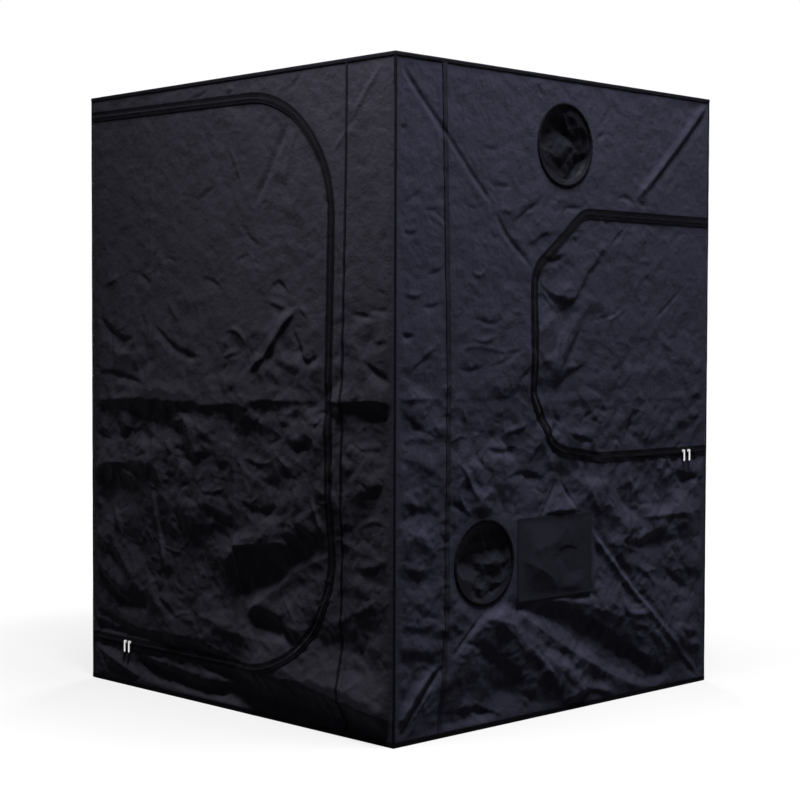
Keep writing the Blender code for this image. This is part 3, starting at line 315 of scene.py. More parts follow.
# Broad planes of slack cloth in the lower half: tilt in degrees, up to the light or, where it is
# negative, down from it, then the outline
FRONT_PLANES = (
    (-21, ((-700, 958), (-600, 968), (-400, 982), (-240, 982), (-180, 966), (-190, 945),
           (-280, 935), (-360, 905), (-420, 915), (-480, 935), (-580, 945), (-680, 945))),
    (-14, ((-160, 960), (-60, 965), (-50, 955), (-90, 940), (-130, 945))),
    (-17, ((-20, 970), (50, 975), (110, 965), (150, 940), (190, 905), (190, 890), (120, 905),
           (60, 920), (10, 940), (-20, 955))),
    (-15, ((110, 985), (220, 990), (270, 985), (270, 965), (220, 955), (170, 970))),
    (-15, ((485, 990), (550, 990), (550, 910), (520, 900), (490, 930))),
    (-21, ((550, 990), (640, 996), (735, 990), (740, 970), (715, 945), (690, 960), (650, 950),
           (600, 972), (550, 972))),
    (-17, ((-750, 715), (-680, 750), (-600, 755), (-520, 720), (-470, 680), (-500, 660),
           (-580, 690), (-680, 700), (-750, 700))),
    (-11, ((-720, 870), (-620, 870), (-610, 845), (-700, 840))),
    (-12, ((-560, 770), (-440, 770), (-400, 740), (-460, 735), (-530, 750))),
    (-9, ((-360, 630), (-280, 660), (-200, 630), (-100, 660), (-20, 700), (40, 660), (70, 610),
          (30, 560), (-30, 530), (-160, 530), (-200, 560), (-300, 530), (-360, 540))),
    (-19, ((80, 545), (190, 575), (300, 585), (270, 550), (360, 530), (320, 500), (240, 455),
           (170, 420), (100, 385), (20, 365), (0, 400), (0, 490))),
    (-17, ((300, 600), (360, 625), (400, 600), (440, 585), (455, 550), (420, 540), (350, 540),
           (310, 560))),
    (-18, ((100, 315), (140, 335), (190, 345), (250, 325), (290, 290), (320, 270), (330, 245),
           (280, 250), (220, 275), (160, 295), (90, 285))),
    (-15, ((-750, 430), (-700, 400), (-620, 335), (-520, 310), (-420, 350), (-400, 310),
           (-500, 275), (-600, 290), (-700, 315), (-750, 330))),
    (-17, ((-750, 215), (-600, 195), (-400, 185), (-250, 200), (-120, 195), (0, 175), (80, 165),
           (20, 150), (-200, 165), (-450, 165), (-750, 180))),
    (-21, ((-550, 140), (-250, 145), (0, 140), (250, 120), (500, 115), (700, 65), (740, 40),
           (700, 20), (450, 50), (200, 65), (50, 85), (-50, 115), (-250, 130), (-500, 120))),
    (-17, ((-450, 115), (-300, 100), (-150, 75), (0, 80), (-50, 50), (-150, 42), (-280, 60),
           (-420, 85), (-500, 100))),
    (-14, ((-730, 85), (-620, 55), (-500, 30), (-460, 40), (-520, 20), (-620, 35), (-730, 55))),
    (-8, ((570, 370), (660, 405), (745, 430), (745, 350), (680, 320), (600, 330))),
    (-8, ((600, 490), (700, 530), (745, 520), (740, 460), (660, 470))),
    (-12, ((320, 845), (400, 865), (420, 855), (360, 835))),
    (-9, ((250, 790), (340, 800), (400, 785), (330, 770))),
    (14, ((70, 335), (140, 400), (220, 445), (330, 510), (460, 540), (455, 460), (420, 380),
          (360, 300), (310, 300), (300, 330), (250, 345), (180, 360), (120, 345))),
    (11, ((-240, 270), (-120, 300), (0, 320), (60, 300), (130, 290), (200, 275), (270, 235),
          (200, 200), (80, 175), (-50, 185), (-180, 200), (-240, 230))),
    (11, ((300, 220), (420, 250), (520, 280), (600, 240), (720, 180), (740, 90), (680, 105),
          (550, 135), (380, 140), (240, 150), (250, 180))),
    (9, ((-740, 460), (-600, 460), (-520, 420), (-500, 360), (-560, 340), (-630, 360),
         (-700, 420))),
    (7, ((-600, 860), (-450, 875), (-400, 820), (-500, 790), (-620, 800), (-700, 790))),
    (6, ((550, 930), (620, 940), (740, 970), (745, 800), (660, 760), (560, 780))),
    (15, ((-420, 80), (-280, 55), (-100, 35), (20, 55), (120, 65), (320, 40), (500, 30),
          (500, 12), (0, 12), (-450, 30))),
    (10, ((-250, 135), (-50, 115), (30, 100), (-20, 90), (-200, 110))),
    (9, ((-740, 130), (-600, 100), (-500, 70), (-500, 45), (-620, 65), (-740, 100))),
    (10, ((0, 535), (120, 540), (170, 535), (100, 520), (0, 500))),
    (8, ((80, 580), (180, 620), (240, 625), (280, 600), (180, 585), (100, 555))),
    (6, ((280, 900), (360, 970), (440, 970), (430, 880), (340, 875))),
    (6, ((120, 860), (220, 890), (300, 880), (270, 850), (160, 825))),
)
SIDE_PLANES = (
    (-12, ((320, 520), (400, 530), (550, 540), (700, 600), (740, 560), (740, 500), (600, 500),
           (450, 490), (350, 500))),
    (-16, ((140, 595), (220, 545), (310, 455), (400, 360), (500, 260), (600, 170), (720, 120),
           (740, 60), (700, 35), (600, 130), (450, 280), (300, 425), (200, 520))),
    (-16, ((-20, 365), (130, 330), (250, 280), (380, 240), (500, 170), (600, 100), (550, 60),
           (420, 50), (280, 110), (150, 170), (0, 280), (-100, 330), (-190, 360), (-150, 365))),
    (-15, ((-400, 300), (-330, 310), (-220, 240), (-120, 180), (-40, 100), (0, 40), (-120, 45),
           (-220, 90), (-330, 100), (-480, 30), (-540, 40), (-540, 130), (-480, 220))),
    (-10, ((-750, 290), (-650, 285), (-570, 260), (-550, 250), (-620, 235), (-750, 250))),
    (-12, ((-740, 720), (-660, 700), (-600, 685), (-620, 670), (-740, 660))),
    (-9, ((-710, 905), (-620, 885), (-550, 905), (-580, 870), (-680, 880))),
    (-10, ((-730, 520), (-650, 505), (-560, 510), (-600, 490), (-720, 480))),
    (-13, ((550, 730), (620, 730), (740, 730), (740, 700), (650, 700), (580, 715))),
    (-8, ((50, 700), (100, 720), (200, 700), (300, 620), (260, 580), (170, 620), (100, 660))),
    (-12, ((620, 400), (740, 390), (740, 370), (660, 375))),
    (-7, ((-350, 900), (-200, 910), (-120, 860), (-220, 860), (-330, 880))),
    (-10, ((20, 70), (100, 40), (160, 30), (0, 20))),
    (9, ((125, 570), (200, 520), (300, 420), (420, 310), (500, 220), (600, 120), (690, 40),
         (620, 50), (520, 140), (420, 250), (300, 300), (180, 340), (140, 380), (135, 500))),
    (9, ((-350, 390), (-280, 390), (-200, 350), (-80, 310), (20, 240), (120, 160), (220, 110),
         (320, 50), (150, 50), (40, 100), (-50, 170), (-150, 240), (-280, 310), (-360, 340))),
    (14, ((-730, 100), (-660, 170), (-570, 230), (-550, 200), (-620, 130), (-700, 50),
          (-730, 40))),
    (8, ((-550, 60), (-400, 60), (-300, 30), (-350, 15), (-520, 20))),
    (17, ((-115, 625), (-60, 690), (-18, 735), (30, 690), (80, 625))),
    (8, ((380, 400), (500, 370), (580, 300), (700, 200), (720, 170), (620, 200), (500, 300),
         (420, 370))),
    (8, ((560, 770), (660, 740), (720, 700), (730, 760), (620, 790))),
    (5, ((340, 600), (450, 660), (600, 700), (720, 620), (600, 620), (500, 560), (400, 550))),
    (-22, ((-120, 1352), (-60, 1327), (0, 1312), (18, 1292), (0, 1265), (-26, 1262), (-80, 1315))),
    (-24, ((0, 1302), (35, 1308), (95, 1385), (188, 1466), (190, 1455), (110, 1375), (45, 1298),
           (10, 1288))),
    (-16, ((-90, 1437), (-40, 1442), (0, 1447), (-50, 1420), (-75, 1416))),
    (-22, ((-50, 1045), (0, 1090), (90, 1100), (30, 1070), (-20, 1035), (-50, 1020))),
    (-14, ((-30, 1070), (-12, 1140), (25, 1200), (75, 1260), (120, 1290), (100, 1240),
           (60, 1180), (30, 1120), (0, 1080))),
    (-14, ((-130, 1080), (-100, 1120), (-60, 1110), (-62, 1030), (-100, 1010), (-130, 1040))),
    (-9, ((-85, 1225), (-50, 1240), (-30, 1200), (-65, 1130), (-100, 1160))),
    (9, ((-120, 1310), (-70, 1290), (-50, 1250), (-90, 1220), (-130, 1200))),
    (11, ((-60, 1030), (-55, 1120), (-30, 1200), (20, 1260), (70, 1280), (30, 1210), (-12, 1140),
          (-35, 1070))),
    (-18, ((300, 885), (335, 940), (358, 992), (374, 992), (352, 930), (330, 885))),
    (-15, ((140, 972), (180, 966), (240, 962), (210, 944), (170, 955))),
    (-13, ((10, 890), (100, 875), (150, 858), (140, 848), (50, 870))),
    (-19, ((660, 988), (730, 988), (720, 973), (680, 975))),
    (-13, ((560, 875), (650, 925), (720, 918), (660, 890), (600, 868))),
    (-12, ((-340, 1035), (-270, 1033), (-200, 1055), (-170, 1020), (-220, 1003), (-350, 1003))),
    (-14, ((-250, 1545), (-200, 1585), (-150, 1598), (-190, 1568), (-240, 1535))),
    (-13, ((-180, 1475), (-100, 1505), (-50, 1512), (-100, 1490), (-160, 1462))),
)
PLAIN_PLANES = (
    (-15, ((-700, 950), (-300, 970), (0, 960), (-100, 910), (-400, 920))),
    (-14, ((200, 950), (500, 970), (720, 950), (500, 920))),
    (-17, ((-600, 160), (-200, 220), (200, 200), (600, 80), (200, 100), (-300, 120))),
    (12, ((-300, 360), (100, 420), (400, 300), (100, 240), (-200, 240))),
    (-13, ((-500, 600), (-200, 660), (100, 560), (-100, 500), (-400, 520))),
    (10, ((300, 700), (600, 720), (680, 550), (400, 560))),
)

# The same inside the port sleeves and on the vent flap, outlines from -1 to 1 across each
SLEEVE_PLANES = {
    "upper": (
        (12, ((-0.6, 0.72), (-0.1, 0.88), (0.35, 0.82), (0.3, 0.72), (-0.55, 0.74))),
        (6, ((-0.75, 0.58), (-0.4, 0.58), (-0.27, 0.43), (-0.55, 0.27), (-0.9, 0.2))),
        (-28, ((-0.08, 0.74), (-0.01, 0.74), (0.24, 0.23), (0.05, 0.29))),
        (14, ((0, 0.74), (0.13, 0.7), (0.31, 0.33), (0.15, 0.39))),
        (-28, ((0.15, 0.74), (0.37, 0.74), (0.56, 0.39), (0.47, 0), (0.31, 0.27), (0.28, 0.4))),
        (10, ((-0.85, -0.08), (-0.53, 0.25), (-0.3, 0.33), (-0.28, -0.31), (-0.4, -0.39),
              (-0.78, -0.25))),
        (15, ((-0.25, 0.33), (-0.01, 0.31), (0.31, 0.19), (0.28, 0.06), (0.05, -0.04),
              (-0.08, -0.19), (-0.25, -0.33))),
        (-26, ((0.05, -0.04), (0.5, -0.04), (0.24, -0.31), (-0.08, -0.54), (-0.4, -0.39),
               (-0.2, -0.33))),
        (-28, ((0.5, -0.12), (0.88, 0.25), (0.98, -0.12), (0.82, -0.31), (0.31, -0.7),
               (-0.08, -0.58), (0.24, -0.31))),
        (-24, ((0.3, 0.25), (0.48, 0.42), (0.62, 0.72), (0.84, 0.45), (0.9, 0.25), (0.55, -0.08),
               (0.32, 0))),
        (-14, ((-0.9, 0.2), (-0.75, 0.6), (-0.5, 0.78), (-0.1, 0.74), (0.02, 0.35), (-0.3, 0.36),
               (-0.5, 0.27))),
        (-28, ((-0.08, -0.58), (0.31, -0.7), (0.24, -0.89), (0.05, -0.87))),
    ),
    "lower": (
        (14, ((-0.91, 0.5), (-0.6, 0.85), (-0.5, 0.89), (-0.53, 0.47), (-0.85, 0.27))),
        (-28, ((-0.49, 0.87), (-0.01, 0.95), (0.37, 0.85), (0.31, 0.74), (-0.08, 0.7),
               (-0.46, 0.47))),
        (3, ((-0.4, 0.54), (0.44, 0.74), (0.69, 0.62), (0.31, 0.43), (-0.27, 0.58))),
        (-28, ((-0.46, 0.47), (-0.14, 0.45), (0.31, 0.35), (0.05, 0.23), (-0.27, 0.23),
               (-0.49, 0.31))),
        (10, ((0.31, 0.43), (0.82, 0.66), (0.95, 0.39), (0.37, 0.33))),
        (-5, ((-0.85, 0.47), (-0.53, 0.31), (-0.08, 0.21), (0.21, 0.25), (0.24, -0.04),
              (-0.21, -0.08), (-0.59, 0.08), (-0.85, 0.23))),
        (20, ((0.21, 0.25), (0.88, 0.35), (0.88, 0), (0.69, -0.08), (0.31, 0))),
        (23, ((-0.97, 0.19), (-0.75, 0.12), (-0.4, -0.08), (-0.14, -0.25), (-0.27, -0.39),
              (-0.59, -0.62), (-0.85, -0.5), (-1, -0.12))),
        (-26, ((-0.21, -0.04), (0.56, -0.08), (0.24, -0.31), (-0.08, -0.58), (-0.14, -0.39))),
        (12, ((0.63, -0.19), (0.88, -0.12), (0.88, -0.39), (0.63, -0.58), (0.37, -0.5))),
        (-24, ((-0.08, -0.85), (0.69, -0.58), (0.37, -0.54), (0.1, -0.75))),
        (-28, ((-0.27, -0.62), (-0.05, -0.64), (-0.08, -0.93), (-0.24, -0.85))),
    ),
}
FLAP_PLANES = (
    (-9, ((-1, 0), (-0.5, -0.2), (-0.1, -0.5), (0.1, -1), (-1, -1))),
    (9, ((0.1, 0.1), (0.5, 0.06), (0.8, -0.3), (0.8, -0.9), (0.2, -0.8))),
    (-13, ((0.02, 0), (0.3, 0.26), (0.6, 0.16), (0.66, -0.25), (0.52, 0), (0.32, 0.1))),
    (5, ((-0.9, 0.9), (0.3, 0.9), (0.1, 0.35), (-0.6, 0.2))),
)

# Creases that the tent keeps from being packed flat: ledges across the walls and upright lines
FRONT_PACK = (
    (3.5, 60, 26, ((-750, 962), (-600, 972), (-400, 985), (-220, 984), (-100, 966), (20, 972))),
    (3, 50, 20, ((-20, 972), (90, 976), (170, 988), (280, 992), (450, 994))),
    (2.6, 44, 14, ((440, 994), (560, 994), (660, 999), (735, 985))),
    (1, 12, 12, ((-410, 1880), (-405, 1400), (-410, 990))),
    (0.8, 12, 12, ((20, 1880), (35, 1400), (33, 990))),
    (2.5, 14, 12, ((-390, 960), (-380, 700))),
    (3.5, 16, 14, ((30, 960), (40, 600), (45, 250))),
)
SIDE_PACK = (
    (2.6, 40, 14, ((-740, 1003), (-620, 1006), (-550, 1002))),
    (1.2, 30, 14, ((-530, 1002), (-340, 1006), (-160, 1002))),
    (0.8, 30, 14, ((-100, 984), (100, 988), (400, 982), (720, 984))),
    (0.6, 12, 12, ((310, 1550), (315, 1000))),
    (2.2, 12, 12, ((-280, 950), (-275, 650))),
)
PLAIN_PACK = (
    (8, 60, 46, ((-740, 980), (-350, 986), (50, 978), (400, 984), (740, 979))),
    (2.5, 14, 14, ((-300, 1950), (-305, 1000))),
    (2.5, 14, 14, ((220, 1950), (225, 1000))),
    (3.5, 16, 16, ((-300, 960), (-305, 50))),
    (3.5, 16, 16, ((220, 960), (225, 50))),
    (8, 20, 36, ((-730, 1980), (-500, 1780), (-360, 1620))),
    (8, 36, 20, ((730, 1980), (520, 1790), (350, 1630))),
    (10, 34, 40, ((200, 500), (450, 260), (710, 30))),
    (9, 40, 30, ((-710, 30), (-500, 220), (-300, 440))),
    (-9, 70, 60, ((-400, 100), (-100, 220), (200, 300))),
    (7, 30, 24, ((-500, 1120), (-380, 1200), (-300, 1300))),
    (-6, 26, 26, ((100, 1150), (200, 1080), (340, 1140))),
    (6, 26, 22, ((-100, 720), (50, 660), (160, 560))),
    (-6, 36, 36, ((350, 800), (500, 740), (660, 780))),
)
ROOF_PACK = (
    (5, 30, 30, ((-720, 0), (0, 12), (720, 0))),
    (5, 30, 30, ((0, -720), (10, 0), (0, 720))),
    (4, 20, 26, ((-700, -700), (-400, -420), (-200, -300))),
    (4, 20, 26, ((700, -700), (450, -460), (240, -260))),
    (4, 20, 26, ((700, 700), (420, 400), (200, 250))),
    (4, 20, 26, ((-700, 700), (-440, 430), (-250, 200))),
)


def ramp(x):
    """Rise smoothly from 0 to 1 as x goes from 0 to 1."""
    x = np.clip(x, 0.0, 1.0)
    return x * x * (3.0 - 2.0 * x)


def soft_noise(u, v, size, seed):
    """Smooth random swells of about this size, from -1 to 1."""
    rng = np.random.default_rng(seed)
    table = rng.uniform(-1.0, 1.0, (97, 89))
    x = u / size + 40.3
    y = v / size + 40.7
    i = np.floor(x).astype(int)
    j = np.floor(y).astype(int)
    fx = ramp(x - i)
    fy = ramp(y - j)
    row, col = j % 97, i % 89
    up, right = (j + 1) % 97, (i + 1) % 89
    low = table[row, col] * (1 - fx) + table[row, right] * fx
    high = table[up, col] * (1 - fx) + table[up, right] * fx
    return low * (1 - fy) + high * fy


def facets(u, v, size, seed):
    """Heights of crushed cloth, -1 to 1: flat facets of about this size with straight edges."""
    rng = np.random.default_rng(seed)
    table = rng.uniform(-1.0, 1.0, (101, 97))
    flips = rng.random((101, 97)) < 0.5
    turn = rng.uniform(0.0, pi)
    bends = [0.55 * soft_noise(u, v, size * 2.3, seed + k) for k in (1, 2)]
    x = (u * cos(turn) - v * sin(turn)) / size + 30.1 + bends[0]
    y = (u * sin(turn) + v * cos(turn)) / size + 30.4 + bends[1]
    i = np.floor(x).astype(int)
    j = np.floor(y).astype(int)
    fx = x - i
    fy = y - j
    row, col = j % 101, i % 97
    up, right = (j + 1) % 101, (i + 1) % 97
    a, b, c, d = table[row, col], table[row, right], table[up, col], table[up, right]
    straight = np.where(fx > fy, a + (b - a) * fx + (d - b) * fy, a + (c - a) * fy + (d - c) * fx)
    crossed = np.where(fx + fy < 1, a + (b - a) * fx + (c - a) * fy,
                       d + (c - d) * (1 - fx) + (b - d) * (1 - fy))
    return np.where(flips[row, col], crossed, straight)


def curve_through(points):
    """A smooth line through the given points."""
    points = np.array(points, float)
    if len(points) == 2:
        count = max(2, int(np.linalg.norm(points[1] - points[0]) / FOLD_STEP) + 1)
        return points[0] + (points[1] - points[0]) * np.linspace(0, 1, count)[:, None]
    padded = np.vstack([2 * points[0] - points[1], points, 2 * points[-1] - points[-2]])
    line = []
    for p0, p1, p2, p3 in zip(padded, padded[1:], padded[2:], padded[3:]):
        count = max(2, int(np.linalg.norm(p2 - p1) / FOLD_STEP) + 1)
        t = np.linspace(0, 1, count, endpoint=False)[:, None]
        line.append(0.5 * (2 * p1 + (p2 - p0) * t + (2 * p0 - 5 * p1 + 4 * p2 - p3) * t ** 2
                           + (3 * p1 - p0 - 3 * p2 + p3) * t ** 3))
    return np.vstack([*line, points[-1:]])


def within(points, loops):
    """Which points lie inside the outlines, by counting crossings."""
    hits = np.zeros(len(points), bool)
    u, v = points[:, 0], points[:, 1]
    for loop in loops:
        for (u0, v0), (u1, v1) in zip(loop, np.roll(loop, -1, 0)):
            if v0 != v1:
                crossing = u0 + (v - v0) * ((u1 - u0) / (v1 - v0))
                hits ^= ((v0 > v) != (v1 > v)) & (u < crossing)
    return hits


class Relief:
    """How far a wall's cloth stands out from its flat plane, kept on a fine grid."""

    def __init__(self, low, high):
        self.low = np.array(low, float)
        counts = [int(round((b - a) / RELIEF_STEP)) + 1 for a, b in zip(low, high)]
        self.u, self.v = np.meshgrid(self.low[0] + np.arange(counts[0]) * RELIEF_STEP,
                                     self.low[1] + np.arange(counts[1]) * RELIEF_STEP)
        self.height = np.zeros_like(self.u)

    def window(self, points, margin):
        """The part of the grid near some points."""
        low = np.floor((points.min(0) - margin - self.low) / RELIEF_STEP).astype(int)
        high = np.ceil((points.max(0) + margin - self.low) / RELIEF_STEP).astype(int) + 1
        rows = slice(max(low[1], 0), max(high[1], 0))
        cols = slice(max(low[0], 0), max(high[0], 0))
        return rows, cols

    def fold(self, depth, left, right, points):
        """Add a fold whose two sides run out over their own widths, and its ends to nothing."""
        depth, left, right = depth / 1000, left / 1000, right / 1000
        line = curve_through(points)
        area = self.window(line, max(left, right))
        u, v = self.u[area], self.v[area]
        if u.size == 0:
            return
        nearest = np.full(u.shape, 1e9)
        side = np.zeros(u.shape)
        place = np.zeros(u.shape)
        travelled = 0.0
        for a, b in zip(line, line[1:]):
            run = b - a
            length = np.linalg.norm(run)
            share = np.clip(((u - a[0]) * run[0] + (v - a[1]) * run[1]) / length ** 2, 0, 1)
            du = u - a[0] - share * run[0]
            dv = v - a[1] - share * run[1]
            distance = np.hypot(du, dv)
            closer = distance < nearest
            nearest = np.where(closer, distance, nearest)
            side = np.where(closer, run[0] * dv - run[1] * du, side)
            place = np.where(closer, travelled + share * length, place)
            travelled += length
        end = min(0.07, travelled / 2.2)
        swell = ramp(place / end) * ramp((travelled - place) / end)
        width = np.where(side > 0, left, right) * (0.45 + 0.55 * swell)
        away = np.clip(nearest / width, 0, 1)
        sharp = (1 - away) ** 1.35
        round_top = 0.5 + 0.5 * np.cos(pi * away)
        self.height[area] += depth * swell * (SHARPNESS * sharp + (1 - SHARPNESS) * round_top)

    def crease(self, depth, left, right, points):
        """A fold whose flank away from the light is steep and narrow."""
        run = np.subtract(points[-1], points[0])
        level = abs(run[0]) / np.hypot(*run)
        widths = (1 + 0.5 * level, 1 - 0.38 * level)
        if (run[0] > 0) != (depth > 0):
            widths = widths[::-1]
        self.fold(depth, left * widths[0], right * widths[1], points)

    def scatter(self, seed, count, low, high, strength):
        """Many short creases, most of them near level, as in cloth that was packed."""
        rng = np.random.default_rng(seed)
        for _ in range(count):
            middle = np.array((rng.uniform(-0.73, 0.73), low + (high - low) * rng.random() ** 1.4))
            turn = rng.normal(0.1, 0.55)
            along = np.array((cos(turn), sin(turn))) * rng.uniform(0.02, 0.075)
            bow = np.array((-along[1], along[0])) * rng.uniform(-0.4, 0.4)
            depth = strength * rng.uniform(0.7, 1.9) * rng.choice((-1, 1))
            self.crease(depth, 9, 9, (middle - along, middle + bow, middle + along))

    def tilt(self, planes, ragged=0.006):
        """Lean outlined patches up or down, as flat as the cloth round them allows."""
        u, v = self.u, self.v
        slope = np.zeros_like(self.height)
        ragged_u = u + ragged * (soft_noise(u, v, 0.03, 901) + 0.5 * soft_noise(u, v, 0.013, 902))
        ragged_v = v + ragged * (soft_noise(u, v, 0.03, 903) + 0.5 * soft_noise(u, v, 0.013, 904))
        for degrees, outline in planes:
            outline = np.array(outline)
            area = self.window(outline, 1.6 * ragged)
            places = np.stack([ragged_u[area].ravel(), ragged_v[area].ravel()], 1)
            covered = within(places, [outline]).reshape(u[area].shape)
            slope[area] -= np.tan(radians(degrees)) * covered
        bend = np.gradient(slope, RELIEF_STEP, axis=0)[1:-1, 1:-1]
        rows, cols = bend.shape
        odd = np.zeros((2 * rows + 2, 2 * cols + 2))
        odd[1:rows + 1, 1:cols + 1] = bend
        odd[rows + 2:, 1:cols + 1] = -bend[::-1]
        odd[1:rows + 1, cols + 2:] = -bend[:, ::-1]
        odd[rows + 2:, cols + 2:] = bend[::-1, ::-1]
        down = 2 - 2 * np.cos(2 * pi * np.fft.fftfreq(odd.shape[0]))[:, None]
        across = 2 - 2 * np.cos(2 * pi * np.fft.rfftfreq(odd.shape[1]))[None, :]
        stiffness = down + across + (RELIEF_STEP / PLANE_REACH) ** 2
        solved = np.fft.irfft2(np.fft.rfft2(odd) / -stiffness, odd.shape) * RELIEF_STEP ** 2
        self.height[1:-1, 1:-1] += solved[1:rows + 1, 1:cols + 1]

    def press_under(self, limit):
        """Bring the cloth below a limit, keeping its small creases."""
        excess = np.maximum(self.height - limit, 0)
        shifts = range(-PRESS_REACH, PRESS_REACH + 1)
        for axis in (0, 1):
            excess = np.maximum.reduce([np.roll(excess, k, axis) for k in shifts])
        for axis in (0, 1):
            excess = np.mean([np.roll(excess, k, axis) for k in shifts], 0)
        self.height = self.height - excess

    def draw_behind(self, reach):
        """A second surface for the inner face, which stays behind the outer one everywhere."""
        lowest = self.height
        for axis in (0, 1):
            near = [np.roll(lowest, k, axis) for k in range(-reach, reach + 1)]
            lowest = np.minimum.reduce(near)
        middle = (self.low + (self.u[-1, -1], self.v[-1, -1])) / 2
        half = (self.u[-1, -1], self.v[-1, -1]) - middle
        edge = np.minimum(half[0] - np.abs(self.u - middle[0]),
                          half[1] - np.abs(self.v - middle[1]))
        self.behind = self.height + (lowest - self.height) * ramp((edge - 0.03) / 0.03)

    def crush(self, size, depth, seed, share=1.0):
        """Add facets of one size, everywhere or by a share of their depth."""
        self.height += depth * share * facets(self.u, self.v, size, seed)

    def soften(self, passes):
        """Even out each point with its neighbours."""
        for _ in range(passes):
            padded = np.pad(self.height, 1, mode="edge")
            across = (padded[1:-1, :-2] + 2 * padded[1:-1, 1:-1] + padded[1:-1, 2:]) / 4
            padded = np.pad(across, 1, mode="edge")
            self.height = (padded[:-2, 1:-1] + 2 * padded[1:-1, 1:-1] + padded[2:, 1:-1]) / 4

    def at(self, u, v, grid=None):
        """The height at any places, from the grid or from a second grid like it."""
        x = np.clip((u - self.low[0]) / RELIEF_STEP, 0, self.u.shape[1] - 1.001)
        y = np.clip((v - self.low[1]) / RELIEF_STEP, 0, self.u.shape[0] - 1.001)
        i = x.astype(int)
        j = y.astype(int)
        fx, fy = x - i, y - j
        grid = self.height if grid is None else grid
        return ((grid[j, i] * (1 - fx) + grid[j, i + 1] * fx) * (1 - fy)
                + (grid[j + 1, i] * (1 - fx) + grid[j + 1, i + 1] * fx) * fy)


class Side:
    """One flat side of the tent, with its own u, v and out directions."""

    def __init__(self, across, up, out, standoff, relief=None):
        self.axes = np.array([across, up, out], float)
        self.standoff = standoff
        self.relief = relief

    def world(self, u, v, out):
        return np.stack(np.broadcast_arrays(u, v, out + self.standoff), -1) @ self.axes

    def flat(self, points):
        local = points @ self.axes.T
        local[:, 2] -= self.standoff
        return local

    def lift(self, u, v):
        return self.relief.at(u, v) if self.relief else np.zeros_like(u)

    def lift_behind(self, u, v):
        return self.relief.at(u, v, self.relief.behind) if self.relief else np.zeros_like(u)


def calm_near_frame(relief, low, high):
    """0 along the tubes at the wall's edges, and 1 away from them."""
    edge = np.minimum(HALF - np.abs(relief.u), np.minimum(relief.v - low, high - relief.v))
    return ramp((edge - 0.006) / 0.04)


def calm_near_ports(relief):
    """0 in the ports and beside their rims, and 1 away from them."""
    share = np.ones_like(relief.u)
    for u, v in PORTS:
        share *= ramp((np.hypot(relief.u - u, relief.v - v) - (PORT_RADIUS + 0.001)) / 0.045)
    return share


def calm_near_flap(relief):
    """0 under the vent flap and 1 away from it, sooner above it than beside it."""
    u, v = relief.u, relief.v
    over = np.maximum(np.maximum(FLAP_LOW[0] - u, u - FLAP_HIGH[0]),
                      np.maximum(FLAP_LOW[1] - v, v - FLAP_HIGH[1]))
    return ramp((over - 0.001) / np.where(v > FLAP_HIGH[1], 0.012, 0.03))


def keep_clear_of_run(relief, v, low_u, high_u):
    """Keep the cloth level where sliders run, and low under the pulls that hang from them."""
    along = np.maximum(np.maximum(low_u - relief.u, relief.u - high_u), 0)
    away = np.hypot(along, relief.v - v)
    room = 0.34 * np.maximum(away - 0.009, 0)
    under = relief.v < v
    hanging = 0.0028 + 0.34 * np.maximum(away - 0.044, 0) + 0.34 * along
    proud = np.where(under, np.minimum(room, hanging), room)
    relief.press_under(proud)
    relief.height = np.clip(relief.height, -0.0012 - room, proud)


def keep_clear_of_flap(relief):
    """Keep the cloth under the vent flap behind it when it is folded right down."""
    along = np.maximum(np.maximum(FLAP_LOW[0] - relief.u, relief.u - FLAP_HIGH[0]), 0)
    below = np.maximum(FLAP_LOW[1] - relief.v, 0)
    proud = np.where(below > 0, 0.13 * below + 0.3 * along, 1.0)
    relief.press_under(proud)


def rolled_share(level):
    """How far the cloth rolls round the near post: 0 at the sockets, and 1 between them."""
    return ramp((level - 0.08) / 0.02) * ramp((1.92 - level) / 0.02)


def metres(line):
    """A table's places, which are in millimetres, as an array in metres."""
    return np.array(line) / 1000


def add_folds(relief, folds):
    for depth, left, right, line in folds:
        relief.fold(depth, left, right, metres(line))


def wall_relief(folds, planes, pack, seed, gain, lean):
    """The planes, folds, pack creases and crushed texture of one upright wall, not yet calmed."""
    relief = Relief((-HALF, 0.0), (HALF, TOP))
    u, v = relief.u, relief.v
    lower = ramp((1.0 - v) / 0.12)
    relief.height += lean * np.exp(-((v - 0.98) / 0.45) ** 2) * (1 - (u / HALF) ** 2) ** 0.5
    relief.tilt([(degrees, metres(outline)) for degrees, outline in planes])
    uneven = 0.75 + 0.5 * soft_noise(u, v, 0.16, seed + 5)
    near_crease = np.exp(-((v - 1.04) / 0.14) ** 2) + 0.5 * np.exp(-((v - 1.2) / 0.22) ** 2)
    relief.crush(0.150, 0.0065, seed, lower * uneven)
    relief.crush(0.072, 0.0045, seed + 10, (0.26 + 0.9 * lower + 0.4 * near_crease) * uneven)
    relief.crush(0.034, 0.0022, seed + 20, (0.36 + 0.8 * lower + 0.6 * near_crease) * uneven)
    relief.crush(0.020, 0.0011, seed + 30, 0.5 + 0.8 * lower)
    for depth, left, right, line in folds:
        points = metres(line)
        upper = 0.7 if points[0][1] > 1.42 else 1.0
        relief.crease(depth * gain * upper, left, right, points)
    relief.scatter(seed + 40, 80, 0.95, 1.6, 0.65)
    relief.scatter(seed + 41, 80, 0.95, 0.1, 1.2)
    relief.scatter(seed + 42, 40, 1.45, 1.95, 0.5)
    add_folds(relief, pack)
    return relief


def calm(relief, *shares):
    """Flatten the cloth by shares, and keep the rest within what a taut cover can do."""
    for share in shares:
        relief.height *= share
    relief.height = np.clip(relief.height, -0.026, 0.024)


